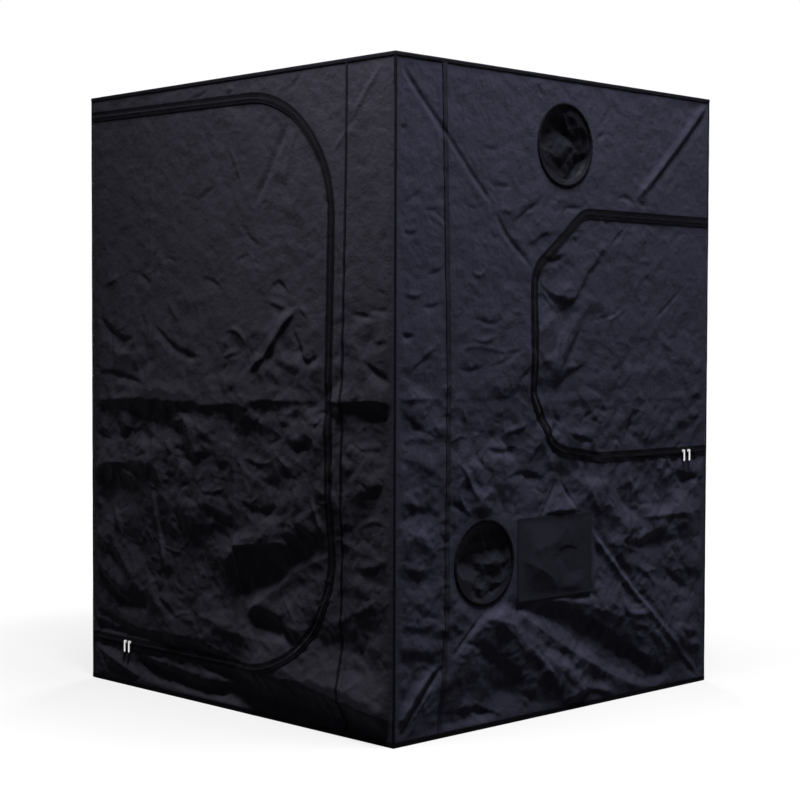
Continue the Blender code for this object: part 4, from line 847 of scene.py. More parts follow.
front_relief = wall_relief(FRONT_FOLDS, FRONT_PLANES, FRONT_PACK, 11, 1.0, 0.017)
calm(front_relief, calm_near_frame(front_relief, 0.0, TOP))
keep_clear_of_run(front_relief, *DOOR_RUN)
# The cloth rolls round the post beside the near corner
roll = np.clip((front_relief.u - 0.722) / 0.021, 0, 1)
front_relief.height -= ROLL_DEPTH * roll ** 2 * rolled_share(front_relief.v)

side_relief = wall_relief(SIDE_FOLDS, SIDE_PLANES, SIDE_PACK, 47, 0.95, 0.0)
calm(side_relief, calm_near_frame(side_relief, 0.0, TOP), calm_near_ports(side_relief),
     calm_near_flap(side_relief))
keep_clear_of_run(side_relief, *WINDOW_RUN)
keep_clear_of_flap(side_relief)

back_relief = wall_relief((), PLAIN_PLANES, PLAIN_PACK, 83, 1.0, 0.008)
left_relief = wall_relief((), PLAIN_PLANES, PLAIN_PACK, 131, 1.0, 0.008)
for relief in (back_relief, left_relief):
    calm(relief, calm_near_frame(relief, 0.0, TOP))

roof_relief = Relief((-HALF, -HALF), (HALF, HALF))
roof_relief.crush(0.16, 0.0026, 171)
roof_relief.crush(0.07, 0.0016, 181)
roof_relief.crush(0.03, 0.0007, 191)
add_folds(roof_relief, ROOF_PACK)
roof_relief.soften(2)
calm(roof_relief, calm_near_frame(roof_relief, -HALF, HALF))
# The roof keeps off the clips of the sliding bars, which run along both side beams
roof_floor = -0.0018 + 0.0016 * ramp((abs(roof_relief.u) - 0.68) / 0.015)
roof_relief.height = np.maximum(roof_relief.height, roof_floor)
for relief in (front_relief, side_relief, back_relief, left_relief, roof_relief):
    relief.draw_behind(3)

FRONT = Side((1, 0, 0), (0, 0, 1), (0, -1, 0), HALF, front_relief)
SIDE = Side((0, 1, 0), (0, 0, 1), (1, 0, 0), HALF, side_relief)
BACK = Side((-1, 0, 0), (0, 0, 1), (0, 1, 0), HALF, back_relief)
LEFT = Side((0, -1, 0), (0, 0, 1), (-1, 0, 0), HALF, left_relief)
ROOF = Side((1, 0, 0), (0, 1, 0), (0, 0, 1), TOP, roof_relief)


class Value:
    """One output of a node, which can be used in a sum."""

    def __init__(self, graph, socket):
        self.graph = graph
        self.socket = socket

    def work(self, operation, first, second=None):
        values = [first] if second is None else [first, second]
        return self.graph.node("ShaderNodeMath", {"operation": operation}, dict(enumerate(values)))

    def __add__(self, other):
        return self.work("ADD", self, other)

    def __radd__(self, other):
        return self.work("ADD", other, self)

    def __sub__(self, other):
        return self.work("SUBTRACT", self, other)

    def __mul__(self, other):
        return self.work("MULTIPLY", self, other)

    def __truediv__(self, other):
        return self.work("DIVIDE", self, other)

    def sine(self):
        return self.work("SINE", self)

    def at_most(self, other):
        return self.work("MINIMUM", self, other)

    def at_least(self, other):
        return self.work("MAXIMUM", self, other)


class Graph:
    """A node tree that nodes are added to."""

    def __init__(self, tree):
        self.tree = tree

    def node(self, kind, settings=None, inputs=None, output=0):
        node = self.tree.nodes.new(kind)
        for name, value in (settings or {}).items():
            setattr(node, name, value)
        for name, value in (inputs or {}).items():
            if isinstance(value, Value):
                self.tree.links.new(value.socket, node.inputs[name])
            else:
                node.inputs[name].default_value = value
        return Value(self, node.outputs[output])

    def other(self, value, output):
        """Another output of the node that a value comes from."""
        return Value(self, value.socket.node.outputs[output])


class Finish(Graph):
    """A procedural material on the Principled shader."""

    def __init__(self, name):
        self.material = bpy.data.materials.new(name)
        self.material.use_nodes = True
        super().__init__(self.material.node_tree)
        self.shader = self.tree.nodes["Principled BSDF"]
        coordinates = self.node("ShaderNodeTexCoord")
        self.place = self.other(coordinates, "Object")

    def noise(self, size, detail=2.0, roughness=0.5, distortion=0.0):
        """Soft random changes of about this size."""
        inputs = {"Vector": self.place, "Scale": 1 / size, "Detail": detail,
                  "Roughness": roughness, "Distortion": distortion}
        return self.node("ShaderNodeTexNoise", {"noise_dimensions": "3D"}, inputs)

    def cells(self, size):
        """How far each place is from the edges of random cells of about this size."""
        inputs = {"Vector": self.place, "Scale": 1 / size}
        return self.node("ShaderNodeTexVoronoi", {"feature": "DISTANCE_TO_EDGE"}, inputs)

    def flat_places(self):
        """The piece's own U and V in metres."""
        place = self.node("ShaderNodeUVMap", {"uv_map": "flat"})
        across = self.node("ShaderNodeSeparateXYZ", None, {"Vector": place})
        return across, self.other(across, "Y")

    def blend(self, first, second, share):
        inputs = {0: share, 6: first, 7: second}
        return self.node("ShaderNodeMix", {"data_type": "RGBA"}, inputs, 2)

    def bump(self, height):
        inputs = {"Height": height, "Distance": 1.0, "Strength": 1.0}
        return self.node("ShaderNodeBump", None, inputs)

    def finish(self, **values):
        for name, value in values.items():
            socket = self.shader.inputs[name.replace("_", " ").title().replace("Ior", "IOR")]
            if isinstance(value, Value):
                self.tree.links.new(value.socket, socket)
            else:
                socket.default_value = value
        return self.material


def shade(colour, strength):
    return (*(part * strength for part in colour), 1.0)


def oxford_cloth(name, colour, rough=0.46, level=0.003, crumple=1.0, fade=0.24):
    """Coated woven cloth: a fine square weave, fine crumples, a grain and slow changes of tone."""
    cloth = Finish(name)
    u, v = cloth.flat_places()
    yarn = 2 * pi / 0.0011
    weave = (u * yarn).sine() * (v * yarn).sine()
    broad = cloth.noise(0.11, 3.0, 0.55)
    crush = cloth.noise(0.032, 5.0, 0.62)
    grain = cloth.noise(0.0032, 1.0, 0.5)
    height = crush * (0.0028 * crumple) + weave * 0.00003
    tone = cloth.blend(shade(colour, 1 - fade), shade(colour, 1 + fade),
                       (broad + grain * 1.3 - 0.65).at_least(0.0).at_most(1.0))
    return cloth.finish(Base_Color=tone, Roughness=broad * 0.10 + (rough - 0.05),
                        Specular_Ior_Level=level, Normal=cloth.bump(height))


def silver_film():
    """The silver inside of the cloth: bright, finely crinkled film."""
    film = Finish("silver_film")
    crinkle = film.noise(0.009, 3.0, 0.6, 0.8)
    facet = film.cells(0.028)
    soil = film.noise(0.2, 3.0, 0.6)
    tone = film.blend(shade((0.66, 0.67, 0.69), 1.0), shade((0.76, 0.77, 0.78), 1.0), soil)
    height = crinkle * 0.0006 + facet.at_most(0.10) * 0.0018
    return film.finish(Base_Color=tone, Metallic=0.9, Roughness=crinkle * 0.12 + 0.24,
                       Normal=film.bump(height))


def woven_tape(name, colour, pitch, level=0.004, rough=0.7):
    """Narrow woven tape, with slanting ribs across it."""
    tape = Finish(name)
    u, v = tape.flat_places()
    ribs = ((u + v) * (2 * pi / pitch)).sine() * ((u - v) * (2 * pi / pitch)).sine()
    fuzz = tape.noise(0.0016, 2.0, 0.6)
    broad = tape.noise(0.05, 2.0, 0.5)
    tone = tape.blend(shade(colour, 0.75), shade(colour, 1.3), broad * 0.6 + ribs * 0.2 + 0.1)
    return tape.finish(Base_Color=tone, Roughness=fuzz * 0.1 + (rough - 0.05),
                       Specular_Ior_Level=level, Normal=tape.bump(ribs * 0.00009 + fuzz * 0.00012))


def sleeve_finish(name, strength):
    """Thin slippery sleeve cloth, much glossier than the walls."""
    sleeve = Finish(name)
    crush = sleeve.noise(0.012, 3.0, 0.6, 0.7)
    crease = sleeve.cells(0.022)
    broad = sleeve.noise(0.06, 2.0, 0.5)
    # A strength below 1 darkens the whole sleeve: painted shade.
    tone = sleeve.blend(shade((0.0048, 0.0048, 0.0072), strength),
                        shade((0.0076, 0.0076, 0.0115), strength), broad)
    height = crush * 0.0010 + crease.at_most(0.10) * 0.0014
    return sleeve.finish(Base_Color=tone, Roughness=broad * 0.12 + 0.42,
                         Specular_Ior_Level=0.008, Normal=sleeve.bump(height))


def powder_coat():
    paint = Finish("white_powder_coat")
    peel = paint.noise(0.0022, 2.0, 0.5)
    broad = paint.noise(0.09, 3.0, 0.6)
    tone = paint.blend(shade((0.70, 0.70, 0.68), 1.0), shade((0.76, 0.76, 0.74), 1.0), broad)
    return paint.finish(Base_Color=tone, Roughness=broad * 0.10 + 0.32,
                        Normal=paint.bump(peel * 0.00008))


def moulded_plastic():
    plastic = Finish("black_plastic")
    grain = plastic.noise(0.0012, 2.0, 0.6)
    broad = plastic.noise(0.02, 2.0, 0.5)
    tone = plastic.blend(shade((0.018, 0.018, 0.019), 1.0), shade((0.028, 0.028, 0.029), 1.0),
                         broad)
    return plastic.finish(Base_Color=tone, Roughness=broad * 0.12 + 0.42,
                          Normal=plastic.bump(grain * 0.00006))


def bright_nickel():
    metal = Finish("bright_nickel")
    scuffs = metal.noise(0.0011, 3.0, 0.65, 0.4)
    broad = metal.noise(0.006, 2.0, 0.5)
    tone = metal.blend(shade((0.70, 0.70, 0.70), 1.0), shade((0.86, 0.86, 0.85), 1.0), broad)
    return metal.finish(Base_Color=tone, Metallic=1.0, Roughness=scuffs * 0.16 + 0.16,
                        Normal=metal.bump(scuffs * 0.00003))


def plain_thread(name, colour, rough, level):
    thread = Finish(name)
    twist = thread.noise(0.0008, 2.0, 0.5)
    tone = thread.blend(shade(colour, 0.8), shade(colour, 1.25), twist)
    return thread.finish(Base_Color=tone, Roughness=twist * 0.1 + rough, Specular_Ior_Level=level,
                         Normal=thread.bump(twist * 0.00005))


FRONT_CLOTH = oxford_cloth("front_cloth", (0.0135, 0.0130, 0.0178))
# The side wall has a lighter, bluer copy of the same cloth: painted light, for the wall that takes
# more light.
SIDE_CLOTH_PAINTED_LIGHTER = oxford_cloth("side_cloth", (0.0158, 0.0156, 0.0250))
FLAP_CLOTH = oxford_cloth("flap_cloth", (0.0102, 0.0102, 0.0155), rough=0.6, crumple=0.3,
                          fade=0.12)
GROUND_CLOTH = oxford_cloth("ground_cloth", (0.012, 0.012, 0.014), rough=0.62)
SILVER = silver_film()
TAPE = woven_tape("black_tape", (0.0040, 0.0040, 0.0055), 0.0024)
# The side wall's seam has a lighter, bluer copy of the black tape: painted light, as that wall
# takes more light.
SIDE_SEAM_TAPE_PAINTED_LIGHTER = woven_tape("seam_tape", (0.0095, 0.0095, 0.0140), 0.0024)
ZIP_TAPE = woven_tape("zip_tape", (0.0031, 0.0031, 0.0042), 0.0018)
# The upper sleeve's cloth is the same as the lower's, made darker by a strength of 0.55: painted
# shade.
SLEEVES = {"upper": sleeve_finish("upper_sleeve_cloth", 0.55),
           "lower": sleeve_finish("lower_sleeve_cloth", 1.0)}
STEEL = powder_coat()
PLASTIC = moulded_plastic()
NICKEL = bright_nickel()
THREAD = plain_thread("black_thread", (0.009, 0.009, 0.013), 0.55, 0.02)
COIL = plain_thread("zip_coil", (0.009, 0.009, 0.012), 0.4, 0.03)
NET = plain_thread("net_strand", (0.012, 0.012, 0.013), 0.5, 0.2)


def outline_loops(node, side):
    """The outlines of the outward face of a CAD cloth, as loops of (u, v)."""
    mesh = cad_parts[node].data
    mesh.calc_loop_triangles()
    places = np.empty(len(mesh.vertices) * 3)
    mesh.vertices.foreach_get("co", places)
    local = side.flat(places.reshape(-1, 3))
    corners = np.empty(len(mesh.loop_triangles) * 3, np.int32)
    mesh.loop_triangles.foreach_get("vertices", corners)
    corners = corners.reshape(-1, 3)
    a, b, c = (local[corners[:, k]] for k in range(3))
    normal = np.cross(b - a, c - a)
    size = np.linalg.norm(normal, axis=1)
    facing = corners[(size > 1e-12) & (normal[:, 2] > 0.5 * size)]
    keys = {}
    merged = [keys.setdefault(tuple(np.round(p[:2] * 20000).astype(int)), i)
              for i, p in enumerate(local)]
    directed = set()
    for triangle in facing:
        x, y, z = (merged[i] for i in triangle)
        directed.update(((x, y), (y, z), (z, x)))
    following = {start: end for start, end in directed if (end, start) not in directed}
    loops = []
    while following:
        first, here = following.popitem()
        loop = [first]
        while here != first:
            loop.append(here)
            here = following.pop(here)
        loops.append(local[loop, :2])
    return loops


def eased(loop, step, closed=True):
    """The same line with more points, and its shallow turns made round."""
    count = len(loop)
    line = []
    for i in range(count if closed else count - 1):
        p0, p1, p2, p3 = (loop[(i + k) % count] if closed else loop[min(max(i + k, 0), count - 1)]
                          for k in (-1, 0, 1, 2))
        run = p2 - p1
        length = np.linalg.norm(run)
        starts = []
        for before, after in ((p1 - p0, run), (run, p3 - p2)):
            turn = abs(atan2(before[0] * after[1] - before[1] * after[0], before @ after))
            if 0.005 < turn < radians(16) and length < 0.15:
                way = before / np.linalg.norm(before) + after / np.linalg.norm(after)
                starts.append(way / np.linalg.norm(way) * length)
            else:
                starts.append(run)
        t = np.linspace(0, 1, max(1, int(np.ceil(length / step))), endpoint=False)[:, None]
        line.append((2 * t ** 3 - 3 * t ** 2 + 1) * p1 + (t ** 3 - 2 * t ** 2 + t) * starts[0]
                    + (3 * t ** 2 - 2 * t ** 3) * p2 + (t ** 3 - t ** 2) * starts[1])
    if not closed:
        line.append(loop[-1:])
    return np.vstack(line)


def lattice(low, high, spacing):
    """Points in even rows, each row half a step to the side of the one below it."""
    rows = np.arange(low[1], high[1], spacing * 0.866)
    across = np.arange(low[0], high[0], spacing)
    return np.vstack([np.stack([across + (k % 2) * spacing / 2, np.full(len(across), row)], 1)
                      for k, row in enumerate(rows)])


def fill(loops, spacing, coarse_above=None, rim_step=None):
    """Even triangles inside outlines, rim points first. Above one height they may be larger."""
    loops = [eased(loop, rim_step or spacing) for loop in loops]
    rim = np.vstack(loops)
    tree = KDTree(len(rim))
    for number, point in enumerate(rim):
        tree.insert((*point, 0.0), number)
    tree.balance()
    low, high = rim.min(0), rim.max(0)
    if coarse_above is None or coarse_above[0] >= high[1]:
        inner = lattice(low, high, spacing)
        near = np.full(len(inner), 0.6 * spacing)
    else:
        fine = lattice(low, (high[0], coarse_above[0]), spacing)
        coarse = lattice((low[0], coarse_above[0] + spacing / 2), high, coarse_above[1])
        inner = np.vstack([fine, coarse])
        near = np.repeat([0.6 * spacing, 0.6 * coarse_above[1]], [len(fine), len(coarse)])
    kept = within(inner, loops)
    inner, near = inner[kept], near[kept]
    far_enough = [tree.find((u, v, 0.0))[2] > reach for (u, v), reach in zip(inner, near)]
    inner = inner[np.array(far_enough, bool)] if len(inner) else inner.reshape(0, 2)
    points = np.vstack([rim, inner])
    edges = []
    start = 0
    for loop in loops:
        edges += [(start + i, start + (i + 1) % len(loop)) for i in range(len(loop))]
        start += len(loop)
    found = delaunay_2d_cdt([Vector(point) for point in points.tolist()], edges, [], 0, 1e-7)
    flat = np.array([tuple(point) for point in found[0]])
    triangles = np.array(found[2])
    on_rim = np.array([bool(origin) and min(origin) < len(rim) for origin in found[3]])
    doubtful = on_rim[triangles].all(1)
    centres = flat[triangles[doubtful]].mean(1)
    good = np.ones(len(triangles), bool)
    good[doubtful] = within(centres, loops)
    return flat, triangles[good]


def make_piece(name, points, faces, materials, flat=None, slots=None):
    """A finished mesh piece at the origin, with smooth faces and sharp folds."""
    mesh = bpy.data.meshes.new(name)
    mesh.from_pydata(np.asarray(points).tolist(), [], [tuple(face) for face in faces])
    for material in materials:
        mesh.materials.append(material)
    if slots is not None:
        mesh.polygons.foreach_set("material_index", np.asarray(slots, np.int32))
    if flat is not None:
        layer = mesh.uv_layers.new(name="flat")
        corners = np.empty(len(mesh.loops), np.int32)
        mesh.loops.foreach_get("vertex_index", corners)
        layer.data.foreach_set("uv", np.asarray(flat)[corners].astype(np.float32).ravel())
    mesh.shade_smooth()
    mesh.set_sharp_from_angle(angle=CRISP)
    piece = bpy.data.objects.new(name, mesh)
    bpy.context.scene.collection.objects.link(piece)
    return piece


def settle(piece, body, node=None):
    """Hang a piece on the empty of the body that it rides on, and hide the CAD piece that it stands
    for.
    """
    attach(piece, body)
    if node:
        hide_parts(node)


def cut_edge(triangles):
    """The directed edges that only one triangle has."""
    pairs = set()
    for a, b, c in triangles.tolist():
        pairs.update(((a, b), (b, c), (c, a)))
    return np.array(sorted((a, b) for a, b in pairs if (b, a) not in pairs))


def two_faced(name, side, outer, inner, outside, inside=None):
    """Thin cloth from two fillings of one outline: its outer face, inner face and cut edge.

    Each is flat places, triangles and heights, and both begin with the same points of the outline.
    """
    flat, triangles, out = outer
    flat_in, triangles_in, out_in = inner
    count = len(flat)
    rim = cut_edge(triangles)
    walls = np.vstack([np.stack([rim[:, 1], rim[:, 0], rim[:, 0] + count], 1),
                       np.stack([rim[:, 1], rim[:, 0] + count, rim[:, 1] + count], 1)])
    faces = np.vstack([triangles, triangles_in[:, ::-1] + count, walls])
    slots = np.repeat([0, 1 if inside else 0, 0], [len(triangles), len(triangles_in), len(walls)])
    places = np.vstack([flat, flat_in])
    points = np.vstack([side.world(flat[:, 0], flat[:, 1], out),
                        side.world(flat_in[:, 0], flat_in[:, 1], out_in)])
    used = np.zeros(len(points), bool)
    used[faces] = True
    renumber = np.cumsum(used) - 1
    return make_piece(name, points[used], renumber[faces].tolist(),
                      [outside] + ([inside] if inside else []), places[used], slots)


def flat_area(flat, triangles):
    """The area of the cut, in square metres."""
    a, b, c = (flat[triangles[:, k]] for k in range(3))
    return float(abs(np.cross(b - a, c - a)).sum() / 2)


def cloth_piece(node, side, spacing, outside, inside=None, body="tent", out=CLOTH_OUT,
                thickness=CLOTH_THICKNESS, coarse_above=None, inner_spacing=None):
    """The real cloth in place of a CAD sheet, with the same cut and the wall's relief."""
    loops = outline_loops(node, side)
    flat, triangles = fill(loops, spacing, coarse_above)
    outer = (flat, triangles, out + side.lift(flat[:, 0], flat[:, 1]))
    if inner_spacing:
        flat_in, triangles_in = fill(loops, inner_spacing, None, spacing)
        behind = side.lift_behind(flat_in[:, 0], flat_in[:, 1])
        inner = (flat_in, triangles_in, out - thickness + behind)
    else:
        inner = (flat, triangles, outer[2] - thickness)
    piece = two_faced(node + "_cloth", side, outer, inner, outside, inside)
    settle(piece, body, node)
    return piece, flat, triangles


def declare(made):
    """Work out how large the cut was, and keep the result nowhere. A narrow cut that bends counts
    by its run and mean width.
    """
    piece, flat, triangles = made
    area = flat_area(flat, triangles)
    size = np.ptp(flat[np.unique(triangles)], axis=0)
    if area < 0.45 * size[0] * size[1]:
        edges = np.vstack([triangles[:, (0, 1)], triangles[:, (1, 2)], triangles[:, (2, 0)]])
        sides, times = np.unique(np.sort(edges, axis=1), axis=0, return_counts=True)
        rim = sides[times == 1]
        run = float(np.linalg.norm(flat[rim[:, 0]] - flat[rim[:, 1]], axis=1).sum() / 2)
        size = np.array((max(area / run, NARROWEST), run))


POSTS = {name: "post_" + name for name in ("front_left", "front_right", "back_left", "back_right")}
BEAMS = {name: ["bottom_beam_" + name, "top_beam_" + name]
         for name in ("front", "back", "left", "right")}
FRONT_FRAME = [POSTS["front_left"], POSTS["front_right"], *BEAMS["front"]]
SIDE_FRAME = [POSTS["front_right"], POSTS["back_right"], *BEAMS["right"]]
BACK_FRAME = [POSTS["back_left"], POSTS["back_right"], *BEAMS["back"]]
LEFT_FRAME = [POSTS["front_left"], POSTS["back_left"], *BEAMS["left"]]


def build_walls():
    """The cloth panels of all four walls and the roof, silver inside."""
    panels = (
        ("front_panel", FRONT, FRONT_CLOTH, "tent", FINE, UPPER, FRONT_FRAME),
        ("front_corner_strip", FRONT, FRONT_CLOTH, "tent", FINE, UPPER, FRONT_FRAME),
        ("door_panel", FRONT, FRONT_CLOTH, "door", FINE, UPPER, FRONT_FRAME),
        ("side_panel", SIDE, SIDE_CLOTH_PAINTED_LIGHTER, "tent", FINE, UPPER, SIDE_FRAME),
        ("side_corner_strip", SIDE, SIDE_CLOTH_PAINTED_LIGHTER, "tent", FINE, UPPER, SIDE_FRAME),
        ("window_panel", SIDE, SIDE_CLOTH_PAINTED_LIGHTER, "window", UPPER, UPPER, SIDE_FRAME),
        ("back_panel", BACK, FRONT_CLOTH, "tent", PLAIN, PLAIN_UPPER, BACK_FRAME),
        ("left_panel", LEFT, FRONT_CLOTH, "tent", PLAIN, PLAIN_UPPER, LEFT_FRAME),
        ("roof_panel", ROOF, FRONT_CLOTH, "tent", ROOF_STEP, ROOF_STEP,
         [*BEAMS["front"], *BEAMS["back"]]),
    )
    for node, side, outside, body, fine, coarse, rests_on in panels:
        made = cloth_piece(node, side, fine, outside, SILVER, body,
                           coarse_above=(UPPER_LEVEL, coarse) if coarse != fine else None,
                           inner_spacing=PLAIN)
        declare(made)


def build_tapes():
    """The flat tapes: zip tapes on both sides of each zip, and the tapes over the upright seams."""
    tapes = (
        ("door_zip_frame_tape", FRONT, "tent", ZIP_TAPE, 0.0, "front_panel"),
        ("door_zip_leaf_tape", FRONT, "door", ZIP_TAPE, 0.0, "door_panel"),
        ("window_zip_frame_tape", SIDE, "tent", ZIP_TAPE, 0.0, "side_panel"),
        ("window_zip_leaf_tape", SIDE, "window", ZIP_TAPE, 0.0, "window_panel"),
        ("front_seam_tape", FRONT, "tent", TAPE, SEAM_LIFT, "front_panel"),
        ("side_seam_tape", SIDE, "tent", SIDE_SEAM_TAPE_PAINTED_LIGHTER, SEAM_LIFT, "side_panel"),
    )
    for node, side, body, finish, above, rests_on in tapes:
        made = cloth_piece(node, side, TAPE_STEP, finish, None, body,
                           TAPE_OUT - 0.0002 + above, TAPE_THICKNESS)
        declare(made)


def loft_rings(rings, closed):
    """Faces between rings of the same number of points."""
    count = len(rings[0])
    points = np.vstack(rings)
    faces = []
    last = len(rings) if closed else len(rings) - 1
    for ring in range(last):
        here, there = ring * count, (ring + 1) % len(rings) * count
        for k in range(count):
            faces.append((here + k, here + (k + 1) % count, there + (k + 1) % count, there + k))
    if not closed:
        faces.append(tuple(reversed(range(count))))
        faces.append(tuple(range(last * count, (last + 1) * count)))
    return points, faces


def turned_right(piece):
    """Make a closed piece's faces point outwards."""
    work = bmesh.new()
    work.from_mesh(piece.data)
    bmesh.ops.recalc_face_normals(work, faces=work.faces)
    work.to_mesh(piece.data)
    work.free()
    return piece


def ring_flats(rings):
    """Flat places for a strip: U along its run and V round its profile, in metres."""
    middles = np.array([ring.mean(0) for ring in rings])
    runs = np.concatenate([[0], np.cumsum(np.linalg.norm(np.diff(middles, axis=0), axis=1))])
    steps = np.linalg.norm(np.diff(rings[0], axis=0), axis=1)
    across = np.concatenate([[0], np.cumsum(steps)])
    return np.array([(run, place) for run in runs for place in across])


def strip_piece(node, rings, closed):
    """A folded tape in place of a CAD one, from its profile at each step of its run."""
    points, faces = loft_rings(rings, closed)
    piece = turned_right(make_piece(node + "_strip", points, faces, [TAPE], ring_flats(rings)))
    settle(piece, "tent", node)


def build_corner_bindings():
    """Folded tape over the four upright corners. The near one follows the cloth round its post."""
    levels = np.append(np.arange(BINDING_LOW, BINDING_HIGH, BINDING_STEP), BINDING_HIGH)
    corners = (("front_right", 1, -1, 1), ("front_left", -1, -1, 0),
               ("back_right", 1, 1, 0), ("back_left", -1, 1, 0))
    for name, side_x, side_y, drop in corners:
        rings = []
        for level in levels:
            rolled = ROLL_DEPTH * drop * float(rolled_share(level))
            wander = 0.00025 * float(soft_noise(0.3 * side_x, level, 0.05, 211))
            # Insets from the side wall and from the front or back wall
            profile = ((0.0072, rolled + 0.0001), (0.0030, rolled * 0.55), (0.0009, 0.0002),
                       (0.0002, 0.0009), (0.0, 0.0030), (0.0, 0.0072), (0.0011, 0.0070),
                       (0.0012, 0.0032), (0.0020, 0.0020), (0.0032, rolled * 0.55 + 0.0012),
                       (0.0070, rolled + 0.0012))
            rings.append(np.array([(side_x * (HALF - a - wander), side_y * (HALF - b - wander),
                                    level) for a, b in profile]))
        strip_piece("corner_binding_" + name, rings, False)


def square_rings(profile, seed, wander):
    """A profile of (inset, height) carried round the tent's four sides, mitred at the corners."""
    rings = []
    for number, (start, end) in enumerate(zip(CORNERS, CORNERS[1:] + CORNERS[:1])):
        for step in range(SIDE_STEPS):
            share = step / SIDE_STEPS
            lift = wander * float(soft_noise(share * 1.5, number * 0.37, 0.03, seed))
            away = lift * ramp(min(share, 1 - share) / 0.02)
            x, y = (start[k] + (end[k] - start[k]) * share for k in (0, 1))
            rings.append(np.array([(x * (HALF - inset), y * (HALF - inset), height + float(away))
                                   for inset, height in profile]))
    return rings


def build_edge_tapes():
    """The binding folded over the top edges, and the hem round the bottom."""
    # Insets from the walls and depths below the roof
    top_profile = ((0.0001, 0.0118), (0.0, 0.006), (0.0001, 0.0011), (0.0010, 0.0003),
                   (0.006, 0.0002), (0.0118, 0.0003), (0.0117, 0.0012), (0.006, 0.0012),
                   (0.0016, 0.0014), (0.0012, 0.006), (0.0011, 0.0117))
    top_profile = [(inset, TOP - depth) for inset, depth in top_profile]
    strip_piece("top_binding", square_rings(top_profile, 223, 0.00015), True)
    hem_profile = [(0.0002, 0.0020), (0.0, 0.005), (0.0002, 0.010), (0.0, 0.015),
                   (0.0002, 0.0176), (0.0011, 0.0176), (0.0012, 0.010), (0.0011, 0.0020)]
    strip_piece("bottom_hem", square_rings(hem_profile, 227, 0.0001), True)


def rim_rings(centre, profile):
    """A profile of (radius, out, share of the puckers) spun round a point of the side wall."""
    rings = []
    for step in range(RIM_STEPS):
        turn = 2 * pi * step / RIM_STEPS
        pucker = 0.00035 * sin(29 * turn + 1.3 * sin(3 * turn)) + 0.00025 * sin(47 * turn)
        rings.append(np.vstack([SIDE.world(centre[0] + radius * cos(turn),
                                           centre[1] + radius * sin(turn), out + pucker * share)
                                for radius, out, share in profile]))
    return rings


def build_ports():
    """Each port: a sewn rim, and a slippery sleeve that is pushed in and drawn shut."""
    middle = PORT_RADIUS - RIM_WIDTH / 2
    half = RIM_WIDTH / 2
    arc = [pi * k / 8 for k in range(9)]
    profile = [(middle + half * cos(turn), -0.0011 + 0.0028 * sin(turn), sin(turn))
               for turn in arc]
    for name, centre, seed in (("upper", PORTS[0], 307), ("lower", PORTS[1], 331)):
        strip_piece("port_rim_" + name, rim_rings(centre, profile), True)
        build_sleeve(name, centre, seed)


def planes_relief(low, high, planes, ragged):
    """Tilted planes in a rectangle, their outlines given from -1 to 1 across it."""
    relief = Relief(low, high)
    middle, half = (np.array(low) + high) / 2, (np.array(high) - low) / 2
    relief.tilt([(1.5 * degrees, np.array(outline) * half + middle)
                 for degrees, outline in planes], ragged)
    return relief


def circle_round(centre, radius, turns):
    """Points of a wall round a centre, one at each of the turns."""
    return np.stack([centre[0] + radius * np.cos(turns), centre[1] + radius * np.sin(turns)], 1)


def build_sleeve(name, centre, seed):
    """The crumpled sleeve that closes a port, sunk into it and deepest above its middle."""
    turns = np.linspace(0, 2 * pi, SLEEVE_RIM_STEPS, endpoint=False)
    flat, triangles = fill([circle_round(centre, SLEEVE_RADIUS, turns)], SLEEVE_STEP)
    u, v = flat[:, 0], flat[:, 1]
    inward = 1 - np.hypot(u - centre[0], v - centre[1]) / SLEEVE_RADIUS
    relief = planes_relief(np.array(centre) - SLEEVE_RADIUS, np.array(centre) + SLEEVE_RADIUS,
                           SLEEVE_PLANES[name], 0.001)
    crushed = (relief.at(u, v) + 0.004 * facets(u, v, 0.042, seed + 3)
               + 0.0022 * facets(u, v, 0.018, seed + 5))
    low_share = ramp((centre[1] - v) / SLEEVE_RADIUS + 0.4)
    out = (SLEEVE_OUT - (0.012 - 0.008 * low_share) * ramp(inward / 0.3)
           + (crushed - 0.002) * ramp(inward / 0.14))
    out = np.minimum(out, SLEEVE_OUT)
    piece = two_faced("port_sleeve_" + name + "_cloth", SIDE, (flat, triangles, out),
                      (flat, triangles, out - THIN_CLOTH), SLEEVES[name])
    settle(piece, "tent", "port_sleeve_" + name)


def build_vent():
    """The flap over the vent opening, and the woven insect net behind it."""
    flat, triangles = fill(outline_loops("vent_flap", SIDE), FLAP_STEP)
    u, v = flat[:, 0], flat[:, 1]
    su = (u - FLAP_LOW[0]) / (FLAP_HIGH[0] - FLAP_LOW[0])
    sv = (v - FLAP_LOW[1]) / (FLAP_HIGH[1] - FLAP_LOW[1])
    inside = ramp(np.minimum(np.minimum(su, 1 - su) * 6, np.minimum(sv, 1 - sv) * 6))
    relief = planes_relief(FLAP_LOW, FLAP_HIGH, FLAP_PLANES, 0.003)
    lift = np.maximum(relief.at(u, v) + 0.0014 * facets(u, v, 0.07, 401), -0.0006)
    lift = (lift + 0.0003 * facets(u, v, 0.02, 409)) * inside
    piece = two_faced("vent_flap_cloth", SIDE, (flat, triangles, 0.0002 + lift),
                      (flat, triangles, lift - THIN_CLOTH), FLAP_CLOTH)
    settle(piece, "vent_flap", "vent_flap")
    build_net()


def build_net():
    """Crossing strands of the insect net behind the vent opening."""
    low, high = np.array(NET_LOW), np.array(NET_HIGH)
    lines = [SIDE.world(np.array((u, u)), np.array((low[1], high[1])), -0.0034)
             for u in np.arange(low[0], high[0], NET_PITCH)]
    lines += [SIDE.world(np.array((low[0], high[0])), np.array((v, v)), -0.0039)
              for v in np.arange(low[1], high[1], NET_PITCH)]
    piece = drawn("vent_net", lines, None, strand_tree(), STRAND_SIZES, NET)
    settle(piece, "tent", "vent_mesh")


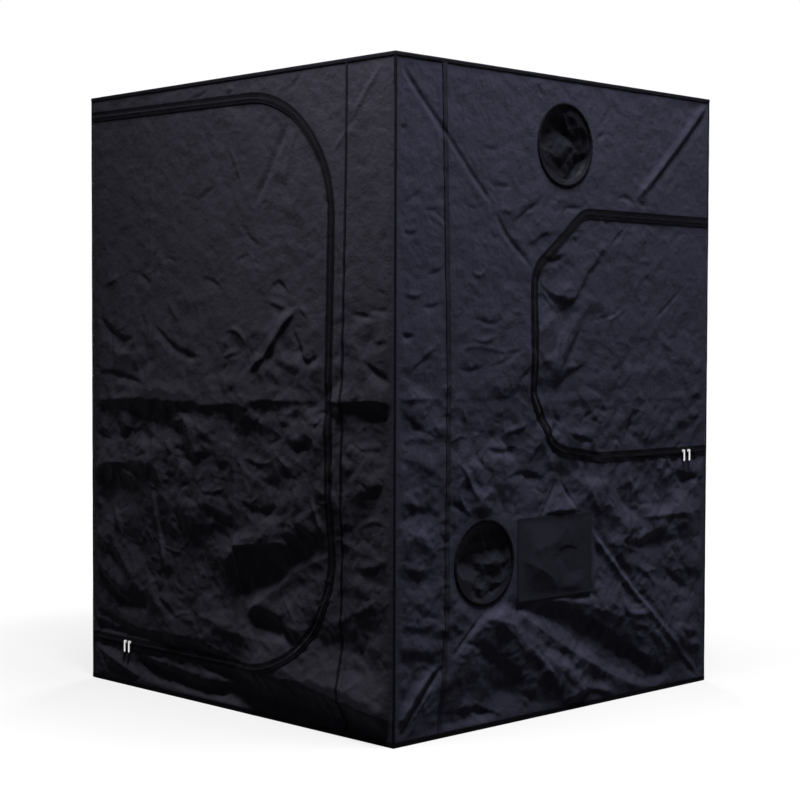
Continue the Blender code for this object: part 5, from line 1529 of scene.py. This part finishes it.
def build_floor():
    """The sewn-in ground sheet, and the silver tray with upstanding sides that stands on it."""
    floor = Side((1, 0, 0), (0, -1, 0), (0, 0, -1), 0.0)
    made = cloth_piece("ground_sheet", floor, GROUND_STEP, GROUND_CLOTH, out=0.0,
                       thickness=GROUND_THICKNESS)
    declare(made)
    build_tray()


def build_tray():
    """A sheet of film with a slack floor, its four sides turned up and its two faces apart."""
    half, height = TRAY_HALF, TRAY_HEIGHT
    count = int(round(2 * half / TRAY_STEP))
    grid = np.linspace(-half, half, count + 1)
    x, y = np.meshgrid(grid, grid)
    rise = 0.0012 * (1 + facets(x, y, 0.06, 503)) + 0.0016 * (1 + facets(x, y, 0.16, 509))
    inner = np.minimum(half - np.abs(x), half - np.abs(y))
    z = 0.0032 + rise * ramp(inner / 0.03)
    points = list(np.stack([x, y, z], -1).reshape(-1, 3))
    starts = [j * (count + 1) + i for j in range(count) for i in range(count)]
    faces = [(a, a + 1, a + count + 2, a + count + 1) for a in starts]
    rim = ([(i, 0) for i in range(count)] + [(count, j) for j in range(count)]
           + [(count - i, count) for i in range(count)] + [(0, count - j) for j in range(count)])
    below = [j * (count + 1) + i for i, j in rim]
    for level in (0.012, 0.024, 0.036, 0.048, height):
        ring = list(range(len(points), len(points) + len(rim)))
        for number, (i, j) in enumerate(rim):
            run = number * TRAY_STEP
            sway = 0.0028 * float(soft_noise(run, level, 0.07, 521)) * level / height
            wave = 0.0018 * float(soft_noise(run, 0.4, 0.11, 541)) * (level / height)
            shrink = 1 - (0.0006 + abs(sway)) / half
            points.append(np.array((grid[i] * shrink, grid[j] * shrink, level + wave)))
        for k in range(len(rim)):
            n = (k + 1) % len(rim)
            faces.append((below[k], below[n], ring[n], ring[k]))
        below = ring
    piece = make_piece("floor_tray_film", points, [face[::-1] for face in faces], [SILVER])
    thick = piece.modifiers.new("thickness", "SOLIDIFY")
    thick.thickness = TRAY_THICKNESS
    thick.offset = 1.0
    finished = baked(piece)
    settle(finished, "tent", "floor_tray")


def baked(piece):
    """The piece as a plain mesh with its modifiers worked in, under the same name."""
    graph = bpy.context.evaluated_depsgraph_get()
    mesh = bpy.data.meshes.new_from_object(piece.evaluated_get(graph), depsgraph=graph)
    piece.modifiers.clear()
    old = piece.data
    piece.data = mesh
    bpy.data.meshes.remove(old)
    mesh.name = piece.name
    return piece


def path_object(name, lines, facings):
    """A mesh of bare lines, each point with the way that the surface faces there."""
    mesh = bpy.data.meshes.new(name)
    edges = []
    start = 0
    for line in lines:
        edges += [(start + k, start + k + 1) for k in range(len(line) - 1)]
        start += len(line)
    mesh.from_pydata(np.vstack(lines).tolist(), edges, [])
    if facings is not None:
        facing = mesh.attributes.new("facing", "FLOAT_VECTOR", "POINT")
        facing.data.foreach_set("vector", np.vstack(facings).astype(np.float32).ravel())
    piece = bpy.data.objects.new(name, mesh)
    bpy.context.scene.collection.objects.link(piece)
    return piece


class Pattern(Graph):
    """A tree of geometry nodes with named inputs for its sizes."""

    def __init__(self, name, sizes):
        super().__init__(bpy.data.node_groups.new(name, "GeometryNodeTree"))
        face = self.tree.interface
        face.new_socket(name="Geometry", in_out="OUTPUT", socket_type="NodeSocketGeometry")
        face.new_socket(name="Geometry", in_out="INPUT", socket_type="NodeSocketGeometry")
        for size in sizes:
            face.new_socket(name=size, in_out="INPUT", socket_type="NodeSocketFloat")
        face.new_socket(name="Finish", in_out="INPUT", socket_type="NodeSocketMaterial")
        self.source = self.node("NodeGroupInput")

    def given(self, name):
        return self.other(self.source, name)

    def finish(self, geometry):
        shown = self.node("GeometryNodeSetMaterial", None,
                          {"Geometry": geometry, "Material": self.given("Finish")})
        result = self.tree.nodes.new("NodeGroupOutput")
        self.tree.links.new(shown.socket, result.inputs[0])
        return self.tree


def bar_tree(name, sides, across, seed):
    """Small bars on lines: lying along them as stitches do, or across as a zip's coils do."""
    pattern = Pattern(name, ("Pitch", "Length", "Radius", "Slant"))
    curves = pattern.node("GeometryNodeMeshToCurve", None, {"Mesh": pattern.given("Geometry")})
    points = pattern.node("GeometryNodeCurveToPoints", {"mode": "LENGTH"},
                          {"Curve": curves, "Length": pattern.given("Pitch")})
    facing = pattern.node("GeometryNodeInputNamedAttribute", {"data_type": "FLOAT_VECTOR"},
                          {"Name": "facing"})
    turn = pattern.node("FunctionNodeAxesToRotation", {"primary_axis": "X", "secondary_axis": "Z"},
                        {"Primary Axis": pattern.other(points, "Tangent"),
                         "Secondary Axis": facing})
    bar = pattern.node("GeometryNodeMeshCylinder", None,
                       {"Vertices": sides, "Radius": pattern.given("Radius"),
                        "Depth": pattern.given("Length")})
    slant = pattern.node("ShaderNodeCombineXYZ", None, {2: pattern.given("Slant")})
    down = (pi / 2, 0, 0) if across else (0, pi / 2, 0)
    lying = pattern.node("GeometryNodeTransform", None, {"Geometry": bar, "Rotation": down})
    slanted = pattern.node("GeometryNodeTransform", None, {"Geometry": lying, "Rotation": slant})
    uneven = pattern.node("FunctionNodeRandomValue", {"data_type": "FLOAT"},
                          {2: 0.86, 3: 1.08, "Seed": seed}, 1)
    placed = pattern.node("GeometryNodeInstanceOnPoints", None,
                          {"Points": points, "Instance": slanted, "Rotation": turn,
                           "Scale": uneven})
    return pattern.finish(pattern.node("GeometryNodeRealizeInstances", None, {"Geometry": placed}))


def strand_tree():
    """Straight threads along lines."""
    pattern = Pattern("net_strands", ("Radius",))
    curves = pattern.node("GeometryNodeMeshToCurve", None, {"Mesh": pattern.given("Geometry")})
    section = pattern.node("GeometryNodeCurvePrimitiveCircle", {"mode": "RADIUS"},
                           {"Resolution": 5, "Radius": pattern.given("Radius")})
    threads = pattern.node("GeometryNodeCurveToMesh", None,
                           {"Curve": curves, "Profile Curve": section, "Fill Caps": True})
    return pattern.finish(pattern.node("GeometryNodeRealizeInstances", None, {"Geometry": threads}))


def drawn(name, lines, facings, tree, sizes, finish):
    """A plain mesh piece that a tree of nodes makes along lines."""
    piece = path_object(name, lines, facings)
    maker = piece.modifiers.new("maker", "NODES")
    maker.node_group = tree
    for item in tree.interface.items_tree:
        if item.in_out == "INPUT" and item.name in sizes:
            maker[item.identifier] = sizes[item.name]
        if item.in_out == "INPUT" and item.name == "Finish":
            maker[item.identifier] = finish
    piece = baked(piece)
    piece.data.shade_smooth()
    piece.data.set_sharp_from_angle(angle=CRISP)
    return piece


def zip_rows(prefix, side):
    """Lines beside the zip by their distance from it, positive towards its leaf."""
    leaf = outline_loops(prefix + "_zip_leaf_tape", side)[0]
    edge = outline_loops(prefix + "_zip_frame_tape", side)[0]
    partner = [int(np.argmin(np.hypot(*(edge - point).T))) for point in leaf]
    near = [np.hypot(*(edge[other] - point)) < 0.0012 for point, other in zip(leaf, partner)]
    start = next(k for k in range(len(leaf)) if near[k] and not near[k - 1])
    order = [(start + k) % len(leaf) for k in range(len(leaf)) if near[(start + k) % len(leaf)]]
    middle = np.array([(leaf[k] + edge[partner[k]]) / 2 for k in order])
    way = np.array([leaf[k] - edge[partner[k]] for k in order])
    way /= np.linalg.norm(way, axis=1)[:, None]
    shifts = [sign * shift for shift in (COIL_SHIFT, *STITCH_SHIFTS) for sign in (1, -1)]
    return {shift: eased(middle + way * shift, 0.006, closed=False) for shift in shifts}


def on_side(side, line, out):
    """A line of a side, lifted on to its cloth, and the way the side faces all along it."""
    line = np.asarray(line, float)
    lift = out + side.lift(line[:, 0], line[:, 1])
    return side.world(line[:, 0], line[:, 1], lift), np.tile(side.axes[2], (len(line), 1))


def seam_lines(node, side, inset):
    """Two lines of stitches inside a seam tape's long edges."""
    loop = outline_loops(node, side)[0]
    edges = []
    for way in (-1, 1):
        own = np.array(sorted((v, u) for u, v in loop if side_of(loop, u, v) == way))
        line = np.stack([own[:, 1] - way * inset, own[:, 0]], 1)
        edges.append(eased(line, 0.008, closed=False))
    return edges


def side_of(loop, u, v):
    """Whether a point of a narrow upright loop is on its right edge, 1, or its left, -1."""
    others = loop[np.argsort(np.abs(loop[:, 1] - v))[:4]]
    return 1 if u > others[:, 0].mean() else -1


def build_zip_coils():
    """The two rows of moulded coils of each zip, one on each tape."""
    tree = bar_tree("zip_coil_row", 6, True, 601)
    around = []
    for prefix, side in (("door", FRONT), ("window", SIDE)):
        rows = zip_rows(prefix, side)
        line, facing = on_side(side, rows[COIL_SHIFT], COIL_OUT)
        piece = drawn(prefix + "_leaf_coils", [line], [facing], tree, COIL_SIZES, COIL)
        settle(piece, prefix)
        around.append(on_side(side, rows[-COIL_SHIFT], COIL_OUT))
    piece = drawn("frame_coils", *zip(*around), tree, COIL_SIZES, COIL)
    settle(piece, "tent")


def facing_out(side, points):
    """Points with the way the side faces at each of them."""
    return points, np.tile(side.axes[2], (len(points), 1))


def zip_stitches(sewn):
    """Two lines of stitches on each tape of each zip."""
    for prefix, side in (("door", FRONT), ("window", SIDE)):
        rows = zip_rows(prefix, side)
        sewn[prefix] += [on_side(side, rows[shift], TAPE_OUT) for shift in STITCH_SHIFTS]
        sewn["tent"] += [on_side(side, rows[-shift], TAPE_OUT) for shift in STITCH_SHIFTS]


def edge_stitches():
    """Stitches along the upright bindings, the top binding and the hem of each wall."""
    made = []
    upright = np.linspace(0.0260, 1.9800, 240)
    level = np.linspace(-HALF + 0.012, HALF - 0.012, 120)
    for side in (FRONT, SIDE, BACK, LEFT):
        for edge in (-1, 1):
            across = np.full_like(upright, edge * (HALF - 0.0055))
            line, facing = on_side(side, np.stack([across, upright], 1), TAPE_OUT + 0.0001)
            if side is FRONT and edge == 1:
                # The binding bulges here, where the cloth below it rolls round the post
                line = line + side.axes[2] * 0.0006
            made.append((line, facing))
        for height in (TOP - 0.0098, 0.0150):
            points = side.world(level, np.full_like(level, height), np.full_like(level, 0.0001))
            made.append(facing_out(side, points))
    return made


def roof_stitches():
    """Stitches along the top binding where it lies on the roof."""
    made = []
    share = np.linspace(0.01, 0.99, 120)[:, None]
    for start, end in zip(CORNERS, CORNERS[1:] + CORNERS[:1]):
        points = (np.array(start) * (1 - share) + np.array(end) * share) * (HALF - 0.0098)
        level = np.full(len(points), TOP - 0.0002)
        made.append(facing_out(ROOF, np.column_stack([points, level])))
    return made


def flap_stitches():
    """Stitches inside the vent flap's hem."""
    inset = 0.004
    left, right = FLAP_LOW[0] + inset, FLAP_HIGH[0] - inset
    low, high = FLAP_LOW[1] + inset, FLAP_HIGH[1] - inset
    corners = np.array(((left, low), (right, low), (right, high), (left, high), (left, low)))
    hem = eased(corners, 0.02, closed=False)
    return facing_out(SIDE, SIDE.world(hem[:, 0], hem[:, 1], np.full(len(hem), 0.0004)))


def build_stitches():
    """Lines of stitches along every tape, binding, hem, rim and flap edge."""
    sewn = {"tent": [], "door": [], "window": [], "vent_flap": []}
    zip_stitches(sewn)
    for node, side in (("front_seam_tape", FRONT), ("side_seam_tape", SIDE)):
        sewn["tent"] += [on_side(side, line, TAPE_OUT + 0.0002)
                         for line in seam_lines(node, side, 0.0018)]
    sewn["tent"] += edge_stitches() + roof_stitches()
    turns = np.linspace(0, 2 * pi, 150)
    for centre in PORTS:
        circle = circle_round(centre, RIM_STITCH_RADIUS, turns)
        sewn["tent"].append(on_side(SIDE, circle, TAPE_OUT + 0.0007))
    sewn["vent_flap"].append(flap_stitches())
    tree = bar_tree("stitches", 5, False, 607)
    for body, lines in sewn.items():
        piece = drawn(body + "_stitches", *zip(*lines), tree, STITCH_SIZES, THREAD)
        settle(piece, body)


def dress_frame():
    """Finishes for the tubes, sockets and zip metal that stay as they are."""
    for name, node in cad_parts.items():
        if name.startswith(("post_", "bottom_beam_", "top_beam_", "roof_bar_")):
            finish = STEEL
        elif name.startswith("corner_socket_"):
            finish = PLASTIC
        elif "_slider_" in name or "_pull_" in name:
            finish = NICKEL
        else:
            continue
        node.data.materials.clear()
        node.data.materials.append(finish)


def seen_rays(graph):
    """1 for what the camera sees, straight or by way of a shine or a clear thing, and else 0."""
    rays = graph.node("ShaderNodeLightPath")
    glossy, clear = (graph.other(rays, kind) for kind in ("Is Glossy Ray", "Is Transmission Ray"))
    return (rays + glossy + clear).at_most(1.0)


def studio_floor():
    """A pale floor that keeps the tent's shadow and runs out to white."""
    mesh = bpy.data.meshes.new("studio_floor")
    mesh.from_pydata([(x * FLOOR_REACH, y * FLOOR_REACH, 0) for x, y in CORNERS], [],
                     [(0, 1, 2, 3)])
    floor = bpy.data.objects.new("studio_floor", mesh)
    bpy.context.scene.collection.objects.link(floor)
    paint = Finish("studio_floor")
    shown = seen_rays(paint)
    away = paint.node("ShaderNodeVectorMath", {"operation": "LENGTH"}, {0: paint.place}, 1)
    outward = ((away - 1.2) / 2.6).at_least(0.0).at_most(1.0)
    paint.shader.inputs["Base Color"].default_value = (0.035, 0.035, 0.035, 1)
    paint.shader.inputs["Roughness"].default_value = 0.9
    paint.shader.inputs["Specular IOR Level"].default_value = 0.0
    glow = paint.node("ShaderNodeEmission", None,
                      {"Color": (1, 1, 1, 1), "Strength": shown * (0.78 + outward * 0.24)})
    both = paint.node("ShaderNodeAddShader", None, None)
    surface = paint.tree.nodes["Material Output"].inputs["Surface"]
    join = both.socket.node
    paint.tree.links.new(paint.shader.outputs["BSDF"], join.inputs[0])
    paint.tree.links.new(glow.socket, join.inputs[1])
    paint.tree.links.new(join.outputs[0], surface)
    mesh.materials.append(paint.material)


def studio_world():
    """White behind everything that is seen or mirrored, and a soft grey fill for the rest."""
    world = bpy.data.worlds.new("studio")
    world.use_nodes = True
    bpy.context.scene.world = world
    sky = Graph(world.node_tree)
    background = world.node_tree.nodes["Background"]
    background.inputs["Color"].default_value = (1, 1, 1, 1)
    strength = WORLD_FILL + seen_rays(sky) * (1 - WORLD_FILL)
    sky.tree.links.new(strength.socket, background.inputs["Strength"])


def softbox(name, place, target, width, watts):
    """A square lamp that the camera doesn't see."""
    light = bpy.data.lights.new(name, "AREA")
    light.shape = "RECTANGLE"
    light.size = light.size_y = width
    light.energy = watts
    lamp = bpy.data.objects.new(name, light)
    bpy.context.scene.collection.objects.link(lamp)
    lamp.location = place
    lamp.rotation_euler = (Vector(target) - Vector(place)).to_track_quat("-Z", "Y").to_euler()
    lamp.visible_camera = False


def place_camera():
    """The photograph's viewpoint, with a long lens."""
    azimuth, elevation, roll = (radians(angle) for angle in CAMERA_ANGLES)
    back = Vector((sin(azimuth) * cos(elevation), -cos(azimuth) * cos(elevation), sin(elevation)))
    right = Vector((cos(azimuth), sin(azimuth), 0))
    up = back.cross(right)
    across = cos(roll) * right + sin(roll) * up
    upward = -sin(roll) * right + cos(roll) * up
    lens = bpy.data.cameras.new("camera")
    lens.lens = CAMERA_LENS
    lens.sensor_width = 36
    lens.clip_end = 200
    camera = bpy.data.objects.new("camera", lens)
    bpy.context.scene.collection.objects.link(camera)
    turn = Matrix((across, upward, back)).transposed().to_4x4()
    camera.matrix_world = Matrix.Translation(CAMERA_PLACE) @ turn
    bpy.context.scene.camera = camera


place_camera()
build_walls()
build_tapes()
build_corner_bindings()
build_edge_tapes()
build_ports()
build_vent()
build_floor()
build_zip_coils()
build_stitches()
dress_frame()
studio_floor()
studio_world()
for lamp in LAMPS:
    softbox(*lamp)

bpy.context.scene.view_settings.view_transform = "Standard"
